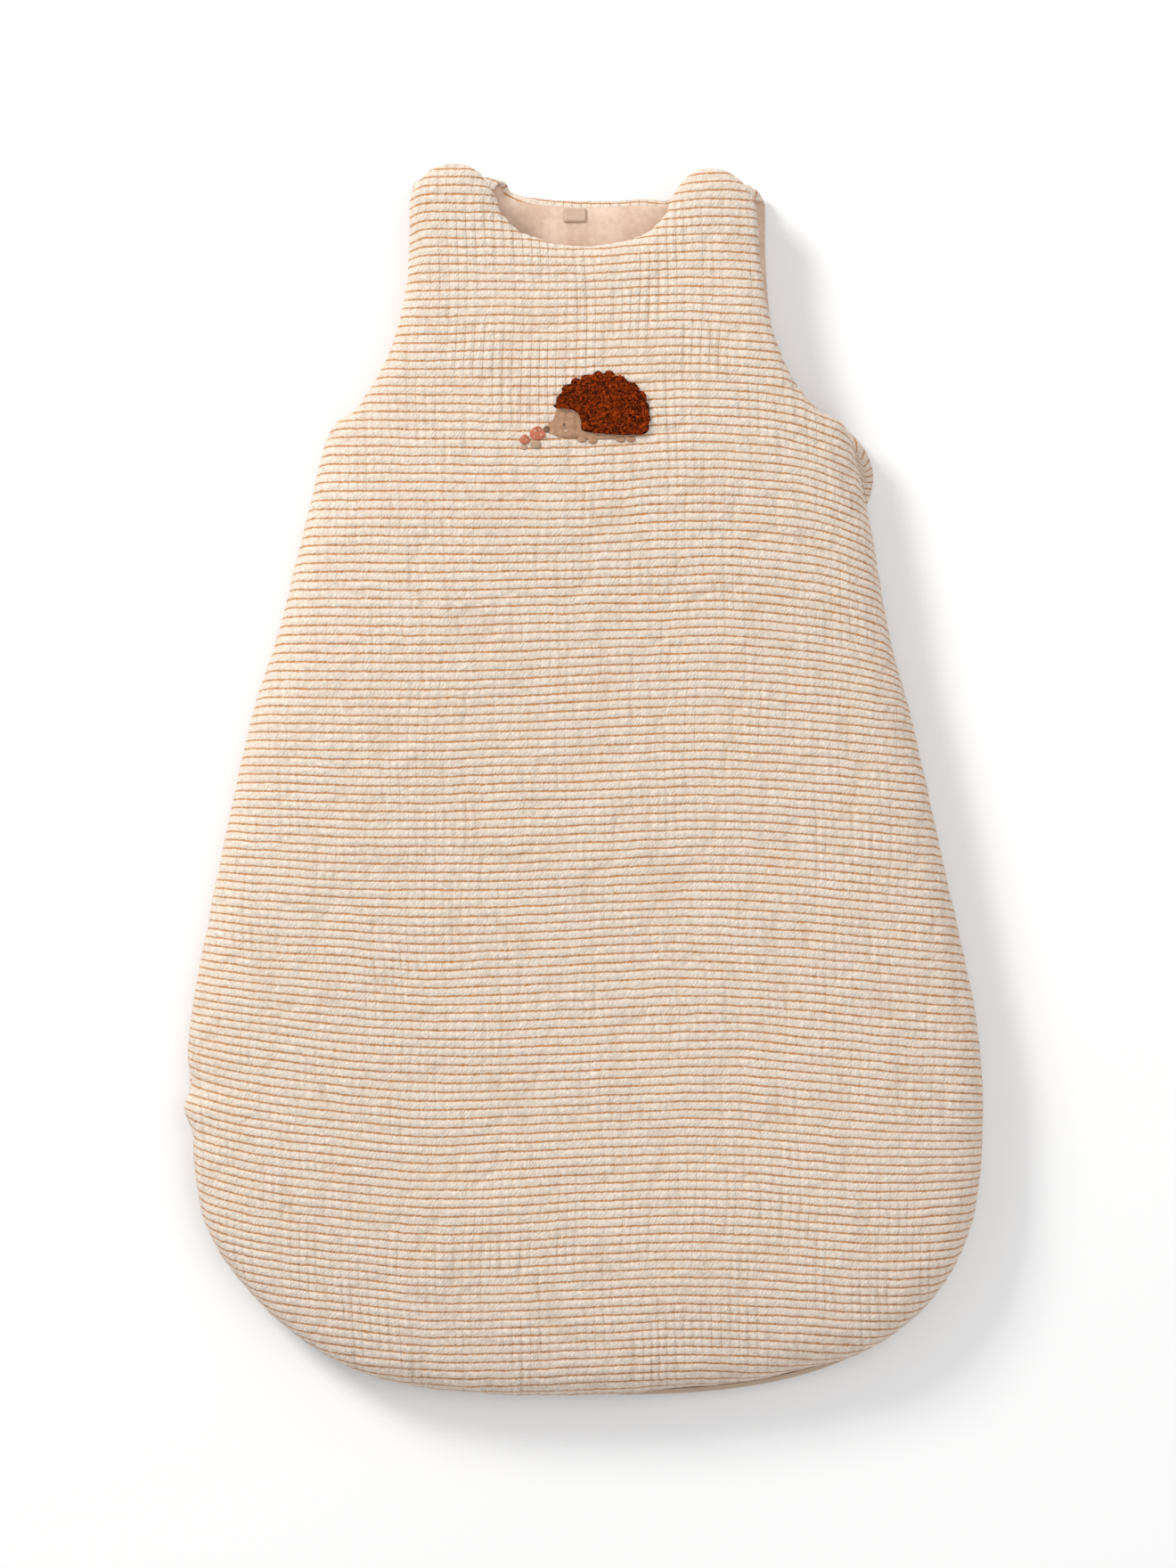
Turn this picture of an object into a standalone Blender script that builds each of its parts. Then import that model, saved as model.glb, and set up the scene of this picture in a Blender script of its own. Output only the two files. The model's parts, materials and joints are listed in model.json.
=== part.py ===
"""Baby sleeping bag, lying flat on its back.

Metres, +Z up. The head end points to +Y and the zipped side to +X. The origin is under the middle
of the bag, on the surface it lies on. The bag is two quilted halves, a back and a front, each of an
outer fabric, a wadding and a lining. A seam closes the left side, and a zip runs from the right
underarm down the right side and round the hem. The front's shoulder tabs snap onto the back's tabs,
which are folded forward over the shoulders.
"""
import math

import bmesh
import bpy
from mathutils import Vector
from mathutils.bvhtree import BVHTree
from mathutils.geometry import delaunay_2d_cdt

# ---- Driving dimensions: the cut of the bag ----
LENGTH = 0.700
HALF_WIDTH = 0.2265
WIDEST_Y = -0.187
HEM_EXPONENT = 2.8
SIDE_FLARE = math.radians(12.2)
SIDE_ARC_TOP_Y = -0.114
LEFT_SIDE_BOW = 0.0035
LEFT_UNDERARM_DRAW = 0.0052
LEFT_HEM_DRAW = 0.0022
LEFT_CORNER_DRAW = 0.0060
LEFT_CORNER = (-0.187, -0.290)
LEFT_CORNER_WIDTH = 0.061
UNDERARM_Y = 0.204
UNDERARM_ROUND = 0.014
ARMHOLE_TOP_Y = 0.310
ARMHOLE_HALF_WIDTH = 0.051
STRAP_EDGE_X = 0.099
STRAP_WIDTH = 0.0495
NECK_BOTTOM_Y = 0.303
NECK_EXPONENT = 1.85
TAB_SPLIT_Y = 0.316
BACK_STRAP_EDGE_X = 0.1005
BACK_SHOULDER_SHIFT = 0.002
BACK_NECK_HALF_WIDTH = 0.045
BACK_NECK_BOTTOM_Y = 0.3324
BACK_FOLD_Y = 0.3384
BACK_UNDERARM_BULGE = 0.010
BULGE_BOTTOM_Y = 0.154

# ---- Driving dimensions: the layers ----
GAP = 0.0003
SKIN = 0.0010
LINING = 0.0008
EDGE_ROUND = 0.025
SEAM_RIM = 0.0115
FREE_RIM = 0.004
RIM_CHANGE_Y = 0.174
BACK_THICK = 0.013
BACK_THIN = 0.0081
BACK_THINNING_Y = (0.230, 0.308)
BACK_EDGE_THICK = 0.004
BACK_EDGE_MID_Z = 0.0055
FRONT_THICK = 0.014
FRONT_SHOULDER_THICK = 0.011
FRONT_THINNING_Y = (0.250, 0.310)
CROWN_FALL_Y = (0.150, 0.316)
FRONT_SEAM_THICK = 0.004
FRONT_FREE_EDGE_THICK = 0.007
FREE_EDGE_RAMP = (0.004, 0.040)
FRONT_SEAM_Z = 0.018
FRONT_MID_Z = 0.035
FRONT_SHOULDER_Z = 0.0262
DOME_WIDTH = 0.110
GRID = 0.034
TAB_GRID = 0.018
PATCH_GRID = 0.009

# ---- Driving dimensions: zip and closed seam. Insets run in from the edge, Z up from the floor ----
ZIP_TOP_Y = 0.150
ZIP_MID_Z = 0.01175
ZIP_CORNER_GAP = 0.004
TAPE_OVER = -0.004
TAPE_INSET = (0.0064, 0.0070)
COIL_INSET = (0.0057, 0.0077)
TAPE_BACK_Z = (0.0059, 0.0100)
COIL_BACK_Z = (0.0103, 0.0113)
COIL_FRONT_Z = (0.0125, 0.0135)
TAPE_FRONT_Z = (0.0138, 0.0175)
COIL_BACK_START = 0.004
COIL_FRONT_START = 0.015
GUARD_INSET = (0.0102, 0.0108)
GUARD_Z = (0.0060, 0.0165)
SEAM_END_RISE = 0.007
ALLOWANCE_INSET = (0.0050, 0.0070)
ALLOWANCE_REACH_X = 0.145
ALLOWANCE_BACK_Z = (0.0082, 0.0114)
ALLOWANCE_FRONT_Z = (0.0120, 0.0157)
TOP_STOP_ALONG = (-0.002, 0)
TOP_STOP_INSET = (0.0053, 0.0061)
TOP_STOP_BACK_Z = (0.0075, 0.0105)
TOP_STOP_FRONT_Z = (0.0130, 0.0160)
BOTTOM_STOP_LENGTH = 0.003
BOTTOM_STOP_SETBACK = 0.0015
BOTTOM_STOP_OVERLAP = (-0.0009, 0.0007)
BOTTOM_STOP_Z = (0.0103, 0.0116)
GARAGE_ALONG = (-0.012, -0.0045)
GARAGE_INSET = (0.0045, 0.0090)
GARAGE_Z = (0.0123, 0.0170)

# ---- Driving dimensions: slider and puller ----
SLIDER_START = 0.001
SLIDER_LENGTH = 0.012
SLIDER_MID_INSET = 0.0067
SLIDER_Z = (0.0068, 0.0167)
SLIDER_POST_Z = (0.0116, 0.0122)
POST_END = 0.0034
OUTER_PLATE = (0.0041, 0.0053, 0.0061)
INNER_PLATE = (0.0093, 0.0081, 0.0073)
FLANGE = 0.0010
BAIL_ENDS = (0.0040, 0.0110)
BAIL_WIRE = 0.0012
BAIL_INSET = (0.0016, 0.0038)
BAIL_BAR = 0.0008
BAIL_Z = (0.01075, 0.01275)
PULLER_PIVOT = (0.0075, 0.00315)
PULLER_LENGTH = 0.0255
PULLER_HALF_THICK = 0.00045
PULLER_HALF_WIDTH = 0.00345
PULLER_CORNER = 0.002
HOLE_HALF_WIDTH = 0.00195
HOLE_LENGTH = 0.0072
CUT_MARGIN = 0.001

# ---- Driving dimensions: shoulder tabs, snaps, labels and patch ----
HINGE_CLEARANCE = 0.001
FOLD_Z = 0.0085
FOLD_OUTER = (0.0072, 0.0080)
FOLD_WADDING = (0.0015, 0.0069)
FOLD_LINING = (0.0004, 0.0012)
BACK_TAB_END_Y = 0.312
SNAP_X = 0.0725
SNAP_Y = 0.332
SNAP_RADIUS = 0.005
SNAP_SEGMENTS = 24
SNAP_DISC = 0.001
STUD_RADIUS = 0.00225
STUD_HEIGHT = 0.0028
SOCKET_HOLE_RADIUS = 0.0028
SOCKET_HEIGHT = 0.0022
NECK_LABEL = (-0.0055, 0.3232)
NECK_LABEL_SIZE = (0.013, 0.008)
CARE_LABEL = (-0.175, -0.060)
CARE_LABEL_SIZE = (0.034, 0.022)
LABEL_THICK = 0.0005
PATCH_CENTRE = (0.0096, 0.2012)
PATCH_HALF_WIDTH = 0.027
PATCH_HEIGHT = 0.029
PATCH_BELLY_SAG = 0.003
PATCH_RIM = 0.002
PATCH_THICK = 0.003
PATCH_POINTS = 72
SCALLOPS = 9
SCALLOP_DEPTH = 0.0012
BACK_SHARE = 0.75

TOP_Y = LENGTH / 2
HEM_DEPTH = LENGTH / 2 + WIDEST_Y
SIDE_ARC_RADIUS = (SIDE_ARC_TOP_Y - WIDEST_Y) / math.sin(SIDE_FLARE)
TAB_RADIUS = STRAP_WIDTH / 2
TAB_CENTRE_X = STRAP_EDGE_X - TAB_RADIUS
TAB_CENTRE_Y = TOP_Y - TAB_RADIUS
NECK_HALF_WIDTH = STRAP_EDGE_X - STRAP_WIDTH
NECK_TOP_Y = TAB_CENTRE_Y


# ---- The outline, worked out as curves ----
def superellipse(angle, exponent):
    """The point at an angle on a unit superellipse."""
    cos, sin = math.cos(angle), math.sin(angle)
    power = 2 / exponent
    return (math.copysign(abs(cos) ** power, cos), math.copysign(abs(sin) ** power, sin))


def side_x(y):
    """Half width of the straight, flared side at a height."""
    arc_top_x = HALF_WIDTH - SIDE_ARC_RADIUS * (1 - math.cos(SIDE_FLARE))
    return arc_top_x - (y - SIDE_ARC_TOP_Y) * math.tan(SIDE_FLARE)


def smoothstep(low, high, value):
    t = min(max((value - low) / (high - low), 0), 1)
    return t * t * (3 - 2 * t)


def curve(steps, point_at, skip_first=True):
    """Points at even steps of a curve's parameter, from 0 to 1."""
    return [point_at(i / steps) for i in range(1 if skip_first else 0, steps + 1)]


def hem_point(t):
    x, y = superellipse(-math.pi / 2 * (1 - t), HEM_EXPONENT)
    return (HALF_WIDTH * x, WIDEST_Y + HEM_DEPTH * y)


def side_arc_point(t):
    angle = SIDE_FLARE * t
    x = HALF_WIDTH - SIDE_ARC_RADIUS * (1 - math.cos(angle))
    return (x, WIDEST_Y + SIDE_ARC_RADIUS * math.sin(angle))


def armhole_point(angle, strap_x):
    reach = side_x(UNDERARM_Y) - strap_x
    depth = ARMHOLE_TOP_Y - UNDERARM_Y
    return (strap_x + reach * (1 - math.sin(angle)), ARMHOLE_TOP_Y - depth * math.cos(angle))


def neck_point(angle, half_width, top_y, bottom_y):
    """From the edge of the neck at angle 0 down to its middle at a quarter turn."""
    x, y = superellipse(angle, NECK_EXPONENT)
    return (half_width * x, top_y - (top_y - bottom_y) * y)


def neck_angle(y, top_y, bottom_y):
    """The angle at which the neck's curve reaches a height."""
    drop = (top_y - y) / (top_y - bottom_y)
    return math.asin(drop ** (NECK_EXPONENT / 2))


def side_and_armhole(strap_x):
    """From the middle of the hem up the side and round the armhole to the strap."""
    corner = Vector((side_x(UNDERARM_Y), UNDERARM_Y))
    below = Vector((side_x(UNDERARM_Y - UNDERARM_ROUND), UNDERARM_Y - UNDERARM_ROUND))
    round_angle = UNDERARM_ROUND / ARMHOLE_HALF_WIDTH
    above = Vector(armhole_point(round_angle, strap_x))

    def straight(t):
        y = SIDE_ARC_TOP_Y + (below.y - SIDE_ARC_TOP_Y) * t
        return (side_x(y), y)

    def rounded(t):
        return tuple((1 - t) ** 2 * below + 2 * t * (1 - t) * corner + t * t * above)

    def armhole(t):
        return armhole_point(round_angle + (math.pi / 2 - round_angle) * t, strap_x)

    return (curve(9, hem_point, skip_first=False) + curve(2, side_arc_point) + curve(8, straight)
            + curve(3, rounded) + curve(6, armhole))


def mirrored(points):
    """The left side: the mirror image, bowed out along the closed seam, drawn in at the underarm, just
    below the zip's end and round the corner of the hem."""
    result = []
    for x, y in points:
        along = min(max((y - WIDEST_Y) / (UNDERARM_Y - WIDEST_Y), 0), 1)
        on_side = x > STRAP_EDGE_X + ARMHOLE_HALF_WIDTH / 2
        left = -x
        if on_side:
            underarm = smoothstep(0.030, 0.100, y) * (1 - smoothstep(0.198, 0.222, y))
            left += LEFT_UNDERARM_DRAW * underarm - LEFT_SIDE_BOW * math.sin(math.pi * along)
        left += LEFT_HEM_DRAW * math.exp(-((y + 0.225) / 0.022) ** 2)
        away = math.hypot(left - LEFT_CORNER[0], y - LEFT_CORNER[1])
        corner = math.exp(-(away / LEFT_CORNER_WIDTH) ** 2) * smoothstep(0.105, 0.150, -left)
        result.append((left + LEFT_CORNER_DRAW * corner, y + LEFT_CORNER_DRAW * corner))
    return result


def closed_loop(right):
    """Both halves as one loop, counter-clockwise, from a right half that runs hem to neck."""
    left = mirrored(right)
    return right + left[-2:0:-1]


def front_neck(from_angle, steps):
    def point_at(t):
        angle = from_angle + (math.pi / 2 - from_angle) * t
        return neck_point(angle, NECK_HALF_WIDTH, NECK_TOP_Y, NECK_BOTTOM_Y)
    return curve(steps, point_at, skip_first=False)


def tab_arc(t):
    angle = math.pi * t
    return (TAB_CENTRE_X + TAB_RADIUS * math.cos(angle), TAB_CENTRE_Y + TAB_RADIUS * math.sin(angle))


def front_outline():
    """The finished edge of the front with its shoulder tabs."""
    arc = curve(10, tab_arc, skip_first=False)
    return closed_loop(side_and_armhole(STRAP_EDGE_X) + arc + front_neck(0, 8)[1:])


def front_body_outline():
    """The front without the tabs, cut off straight across each strap."""
    angle = neck_angle(TAB_SPLIT_Y, NECK_TOP_Y, NECK_BOTTOM_Y)
    right = side_and_armhole(STRAP_EDGE_X) + [(STRAP_EDGE_X, TAB_SPLIT_Y)] + front_neck(angle, 5)
    return closed_loop(right)


def front_tab_outline():
    """The right tab: above the cut, with a round end."""
    base_y = TAB_SPLIT_Y + GAP
    cut = neck_angle(base_y, NECK_TOP_Y, NECK_BOTTOM_Y)
    neck = [neck_point(cut * i / 2, NECK_HALF_WIDTH, NECK_TOP_Y, NECK_BOTTOM_Y) for i in (1, 2)]
    return [(STRAP_EDGE_X, base_y)] + curve(10, tab_arc, skip_first=False) + neck


def back_outline():
    """The back up to the fold of its shoulder tabs, bulging out behind the open underarm."""
    def neck(t):
        return neck_point(math.pi / 2 * t, BACK_NECK_HALF_WIDTH, BACK_FOLD_Y, BACK_NECK_BOTTOM_Y)
    strap_top = [(BACK_STRAP_EDGE_X, BACK_FOLD_Y)]
    right = side_and_armhole(BACK_STRAP_EDGE_X) + strap_top + curve(5, neck, skip_first=False)
    points = []
    for x, y in closed_loop(right):
        shift = BACK_SHOULDER_SHIFT * smoothstep(UNDERARM_Y, ARMHOLE_TOP_Y, y)
        along = (y - BULGE_BOTTOM_Y) / (UNDERARM_Y - BULGE_BOTTOM_Y)
        on_bulge = x > 0 and 0 < along < 1
        bulge = BACK_UNDERARM_BULGE * math.sin(math.pi * along) if on_bulge else 0
        points.append((x + shift + bulge, y))
    return points


def seam_path():
    """The line where front and back meet: right underarm, hem, left underarm."""
    right = [p for p in side_and_armhole(STRAP_EDGE_X) if p[1] <= UNDERARM_Y - UNDERARM_ROUND / 2]
    return right[::-1] + mirrored(right)[1:]


# ---- Plan geometry ----
def distance_to(path, x, y, closed=False):
    point = Vector((x, y))
    best = 1.0
    for i in range(0 if closed else 1, len(path)):
        a, b = Vector(path[i - 1]), Vector(path[i])
        run = b - a
        t = min(max((point - a).dot(run) / max(run.length_squared, 1e-12), 0), 1)
        best = min(best, (point - a - run * t).length)
    return best


def inward_normals(points, closed=True):
    """Unit normals to the left of the direction of travel, one for each point."""
    normals = []
    last = len(points) - 1
    for i, point in enumerate(points):
        before = points[i - 1] if closed or i > 0 else point
        after = points[(i + 1) % len(points)] if closed or i < last else point
        here = Vector(point)
        tangent = Vector((0, 0))
        for run in (here - Vector(before), Vector(after) - here):
            if run.length > 0:
                tangent += run.normalized()
        tangent.normalize()
        normals.append(Vector((-tangent.y, tangent.x)))
    return normals


def inset_loop(points, width_at):
    return [tuple(Vector(p) + n * width_at(p)) for p, n in zip(points, inward_normals(points))]


def inside(loop, x, y):
    result = False
    for i, (bx, by) in enumerate(loop):
        ax, ay = loop[i - 1]
        if (ay > y) != (by > y) and x < (bx - ax) * (y - ay) / (by - ay) + ax:
            result = not result
    return result


def rim_width(point):
    """Fabric alone lies past the wadding: a wide rim at the seam, a narrow one at a free edge."""
    return SEAM_RIM + (FREE_RIM - SEAM_RIM) * smoothstep(RIM_CHANGE_Y, UNDERARM_Y, point[1])


def plan(outline, width_at=rim_width, grid=GRID):
    """Triangles that fill an outline. The core ones lie inside its rim."""
    core = inset_loop(outline, width_at)
    xs, ys = [p[0] for p in outline], [p[1] for p in outline]
    grid_points = []
    row = 0
    y = min(ys) + grid / 2
    while y < max(ys):
        x = min(xs) + grid / 4 + grid / 2 * (row % 2)
        while x < max(xs):
            if inside(core, x, y) and distance_to(core, x, y, closed=True) > grid / 2.5:
                grid_points.append((x, y))
            x += grid
        y += grid * math.sin(math.pi / 3)
        row += 1
    count = len(outline)
    edges = [(i, (i + 1) % count) for i in range(count)]
    edges += [(a + count, b + count) for a, b in edges]
    coords = [Vector(p) for p in outline + core + grid_points]
    points, _, faces, *_ = delaunay_2d_cdt(coords, edges, [], 1, 1e-7)
    core_faces = []
    for face in faces:
        middle = sum((points[i] for i in face), Vector((0, 0))) / 3
        if inside(core, middle.x, middle.y):
            core_faces.append(face)
    return points, faces, core_faces


# ---- Height of each half ----
class Heights:
    """Heights of the two halves over the plan."""
    seam = seam_path()
    front_edge = front_outline()
    back_edge = back_outline()

    @staticmethod
    def swell(distance):
        t = min(distance / EDGE_ROUND, 1)
        return math.sqrt(max(1 - (1 - t) ** 2, 0))

    @classmethod
    def back(cls, x, y):
        swell = cls.swell(distance_to(cls.back_edge, x, y, closed=True))
        full = BACK_THICK + (BACK_THIN - BACK_THICK) * smoothstep(*BACK_THINNING_Y, y)
        thick = BACK_EDGE_THICK + (full - BACK_EDGE_THICK) * swell
        middle = BACK_EDGE_MID_Z + (full / 2 - BACK_EDGE_MID_Z) * swell
        return middle - thick / 2, middle + thick / 2

    @classmethod
    def front(cls, x, y):
        from_seam = distance_to(cls.seam, x, y)
        swell = cls.swell(distance_to(cls.front_edge, x, y, closed=True))
        free = smoothstep(*FREE_EDGE_RAMP, from_seam)
        edge = FRONT_SEAM_THICK + (FRONT_FREE_EDGE_THICK - FRONT_SEAM_THICK) * free
        shoulder = smoothstep(*FRONT_THINNING_Y, y)
        full = FRONT_THICK + (FRONT_SHOULDER_THICK - FRONT_THICK) * shoulder
        thick = edge + (full - edge) * swell
        crown = FRONT_MID_Z + (FRONT_SHOULDER_Z - FRONT_MID_Z) * smoothstep(*CROWN_FALL_Y, y)
        rise = math.sqrt(1 - (1 - min(from_seam / DOME_WIDTH, 1)) ** 2)
        middle = FRONT_SEAM_Z + (crown - FRONT_SEAM_Z) * rise
        return middle - thick / 2, middle + thick / 2


# ---- Materials and objects ----
def linear(channel):
    value = channel / 255
    return value / 12.92 if value <= 0.04045 else ((value + 0.055) / 1.055) ** 2.4


def material(name, red, green, blue, roughness, metallic=0.0):
    result = bpy.data.materials.new(name)
    result.use_nodes = True
    shader = result.node_tree.nodes["Principled BSDF"]
    shader.inputs["Base Color"].default_value = (linear(red), linear(green), linear(blue), 1)
    shader.inputs["Roughness"].default_value = roughness
    shader.inputs["Metallic"].default_value = metallic
    return result


def make_object(name, verts, faces, finish, parent=None, smooth=False):
    """One named object from world points, hung on its parent empty."""
    pivot = parent.matrix_world.translation if parent else Vector()
    mesh = bpy.data.meshes.new(name)
    mesh.from_pydata([Vector(v) - pivot for v in verts], [], faces)
    if smooth:
        mesh.shade_smooth()
        mesh.set_sharp_from_angle(angle=math.radians(40))
    mesh.materials.append(finish)
    result = bpy.data.objects.new(name, mesh)
    bpy.context.scene.collection.objects.link(result)
    result.parent = parent
    return result


def make_empty(name, location, parent=None):
    result = bpy.data.objects.new(name, None)
    bpy.context.scene.collection.objects.link(result)
    result.parent = parent
    result.location = Vector(location) - (parent.matrix_world.translation if parent else Vector())
    bpy.context.view_layer.update()
    return result


def slab_mesh(points, faces, low, high):
    """A closed slab over plan triangles, between two heights."""
    used = sorted({i for face in faces for i in face})
    place = {old: new for new, old in enumerate(used)}
    count = len(used)
    verts = [(points[i].x, points[i].y, low(points[i].x, points[i].y)) for i in used]
    verts += [(points[i].x, points[i].y, high(points[i].x, points[i].y)) for i in used]
    bottoms, tops, sides = [], [], []
    directed = set()
    for face in faces:
        a, b, c = (points[i] for i in face)
        if (b - a).cross(c - a) < 0:
            face = face[::-1]
        ring = [place[i] for i in face]
        bottoms.append(ring[::-1])
        tops.append([i + count for i in ring])
        directed.update((ring[i - 1], ring[i]) for i in range(3))
    for a, b in sorted(directed):
        if (b, a) not in directed:
            sides.append([a, b, b + count, a + count])
    return verts, bottoms + tops + sides


def layer(name, plan_mesh, surface, bounds, finish, parent=None, core=True):
    """One layer of a half. bounds takes the half's low and high heights to the layer's own."""
    points, faces, core_faces = plan_mesh
    verts, mesh_faces = slab_mesh(points, core_faces if core else faces,
                                  lambda x, y: bounds(*surface(x, y))[0],
                                  lambda x, y: bounds(*surface(x, y))[1])
    return make_object(name, verts, mesh_faces, finish, parent)


def wall(name, path, insets, heights, finish, parent=None):
    """An upright strip along part of the edge. The path runs with the bag on its left."""
    normals = inward_normals(path, closed=False)
    verts = []
    for point, normal in zip(path, normals):
        outer, inner = (Vector(point) + normal * inset for inset in insets)
        verts += [(*outer, heights[0]), (*inner, heights[0]), (*inner, heights[1]), (*outer, heights[1])]
    faces = [(0, 1, 2, 3)]
    for i in range(len(path) - 1):
        for j in range(4):
            a, b = 4 * i + j, 4 * i + (j + 1) % 4
            faces.append((b, a, a + 4, b + 4))
    end = 4 * (len(path) - 1)
    faces.append((end + 3, end + 2, end + 1, end))
    return make_object(name, verts, [f[::-1] for f in faces], finish, parent)


def extruded(name, profile, place, near, far, finish, parent=None):
    """A flat profile, counter-clockwise, extruded between two distances and placed in the world."""
    mesh = bmesh.new()
    near_verts = [mesh.verts.new(place(a, b, near)) for a, b in profile]
    far_verts = [mesh.verts.new(place(a, b, far)) for a, b in profile]
    mesh.faces.new(near_verts)
    mesh.faces.new(far_verts[::-1])
    for i in range(len(profile)):
        mesh.faces.new((near_verts[i - 1], near_verts[i], far_verts[i], far_verts[i - 1]))
    bmesh.ops.triangulate(mesh, faces=[f for f in mesh.faces if len(f.verts) > 4])
    bmesh.ops.recalc_face_normals(mesh, faces=mesh.faces)
    mesh.verts.index_update()
    verts = [v.co.copy() for v in mesh.verts]
    faces = [[v.index for v in f.verts] for f in mesh.faces]
    mesh.free()
    return make_object(name, verts, faces, finish, parent)


def band(name, outer, inner, near_x, far_x, finish, parent=None):
    """A strip between two rails of (y, z), one for each face of the cloth, as wide as the strap."""
    verts = [(x, *point) for pair in zip(outer, inner) for x in (near_x, far_x) for point in pair]
    steps = [(0, 1, 5, 4), (1, 3, 7, 5), (3, 2, 6, 7), (2, 0, 4, 6)]
    faces = [(0, 2, 3, 1)]
    for i in range(len(outer) - 1):
        faces += [tuple(4 * i + j for j in step) for step in steps]
    faces.append(tuple(4 * (len(outer) - 1) + j for j in (0, 1, 3, 2)))
    if far_x < near_x:
        faces = [face[::-1] for face in faces]
    return make_object(name, verts, faces, finish, parent)


def turned(name, profile, centre, finish, parent=None):
    """A profile of radius and height, counter-clockwise, turned about an upright axis."""
    verts, rings = [], []
    for radius, height in profile:
        count = SNAP_SEGMENTS if radius > 0 else 1
        rings.append(list(range(len(verts), len(verts) + count)))
        for i in range(count):
            angle = 2 * math.pi * i / SNAP_SEGMENTS
            verts.append((centre[0] + radius * math.cos(angle), centre[1] + radius * math.sin(angle),
                          height))
    faces = []
    for a, b in zip(rings, rings[1:] + rings[:1]):
        if len(a) == len(b) == 1:
            continue
        for i in range(SNAP_SEGMENTS):
            j = (i + 1) % SNAP_SEGMENTS
            ring = [a[i % len(a)], a[j % len(a)], b[j % len(b)], b[i % len(b)]]
            faces.append(list(dict.fromkeys(ring)))
    return make_object(name, verts, faces, finish, parent, smooth=True)


def height_over(mesh_object, x, y):
    """The top of a piece over a point."""
    mesh = mesh_object.data
    tree = BVHTree.FromPolygons([v.co for v in mesh.vertices], [p.vertices for p in mesh.polygons])
    hit = tree.ray_cast(Vector((x, y, 1)), Vector((0, 0, -1)))[0]
    return hit.z


# ---- The model ----
for old in list(bpy.data.objects):
    bpy.data.objects.remove(old, do_unlink=True)

STRIPE = material("striped_gauze", 223, 198, 177, 0.95)
JERSEY = material("lining_jersey", 227, 198, 177, 0.95)
FILL = material("wadding", 244, 241, 235, 1.0)
TAPE = material("zip_tape", 214, 190, 166, 0.85)
COIL = material("zip_coil", 205, 180, 156, 0.45)
METAL = material("zip_metal", 196, 178, 150, 0.30, 1.0)
SNAP = material("snap_plastic", 232, 218, 200, 0.40)
LABEL = material("woven_label", 216, 190, 168, 0.80)
BOUCLE = material("boucle_wool", 101, 40, 17, 1.0)


def low_layer(thick):
    return lambda low, high: (low, low + thick)


def high_layer(thick):
    return lambda low, high: (high - thick, high)


def fill_layer(below, above):
    return lambda low, high: (low + below + GAP, high - above - GAP)


# Back half
back_plan = plan(back_outline())
layer("back_outer_fabric", back_plan, Heights.back, low_layer(SKIN), STRIPE, core=False)
layer("back_wadding", back_plan, Heights.back, fill_layer(SKIN, LINING), FILL)
back_lining = layer("back_lining", back_plan, Heights.back, high_layer(LINING), JERSEY)


def flat_label(name, centre, size):
    """A thin label lying on the back lining."""
    x, y = centre
    half_x, half_y = size[0] / 2, size[1] / 2
    spots = [(x + i * half_x, y + j * half_y) for i in (-1, 0, 1) for j in (-1, 0, 1)]
    base = max(height_over(back_lining, *spot) for spot in spots) + GAP
    profile = [(x - half_x, y - half_y), (x + half_x, y - half_y), (x + half_x, y + half_y),
               (x - half_x, y + half_y)]
    extruded(name, profile, lambda a, b, c: (a, b, c), base, base + LABEL_THICK, LABEL)


flat_label("neck_label", NECK_LABEL, NECK_LABEL_SIZE)
flat_label("care_label", CARE_LABEL, CARE_LABEL_SIZE)

# Front half, which opens about a line along the closed seam
underarm_left = Vector(mirrored([(side_x(UNDERARM_Y), UNDERARM_Y)])[0])
widest_left = Vector((-HALF_WIDTH, WIDEST_Y))
along_hinge = (widest_left - underarm_left).normalized()
outward = Vector((along_hinge.y, -along_hinge.x))
reach = max((Vector(p) - underarm_left).dot(outward) for p in front_outline()) + HINGE_CLEARANCE
hinge_point = underarm_left + outward * reach
front_hinge = make_empty("front_hinge", (*hinge_point, ZIP_MID_Z))

front_plan = plan(front_body_outline())
layer("front_lining", front_plan, Heights.front, low_layer(LINING), JERSEY, front_hinge)
layer("front_wadding", front_plan, Heights.front, fill_layer(LINING, SKIN), FILL, front_hinge)
layer("front_outer_fabric", front_plan, Heights.front, high_layer(SKIN), STRIPE, front_hinge, core=False)

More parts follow.
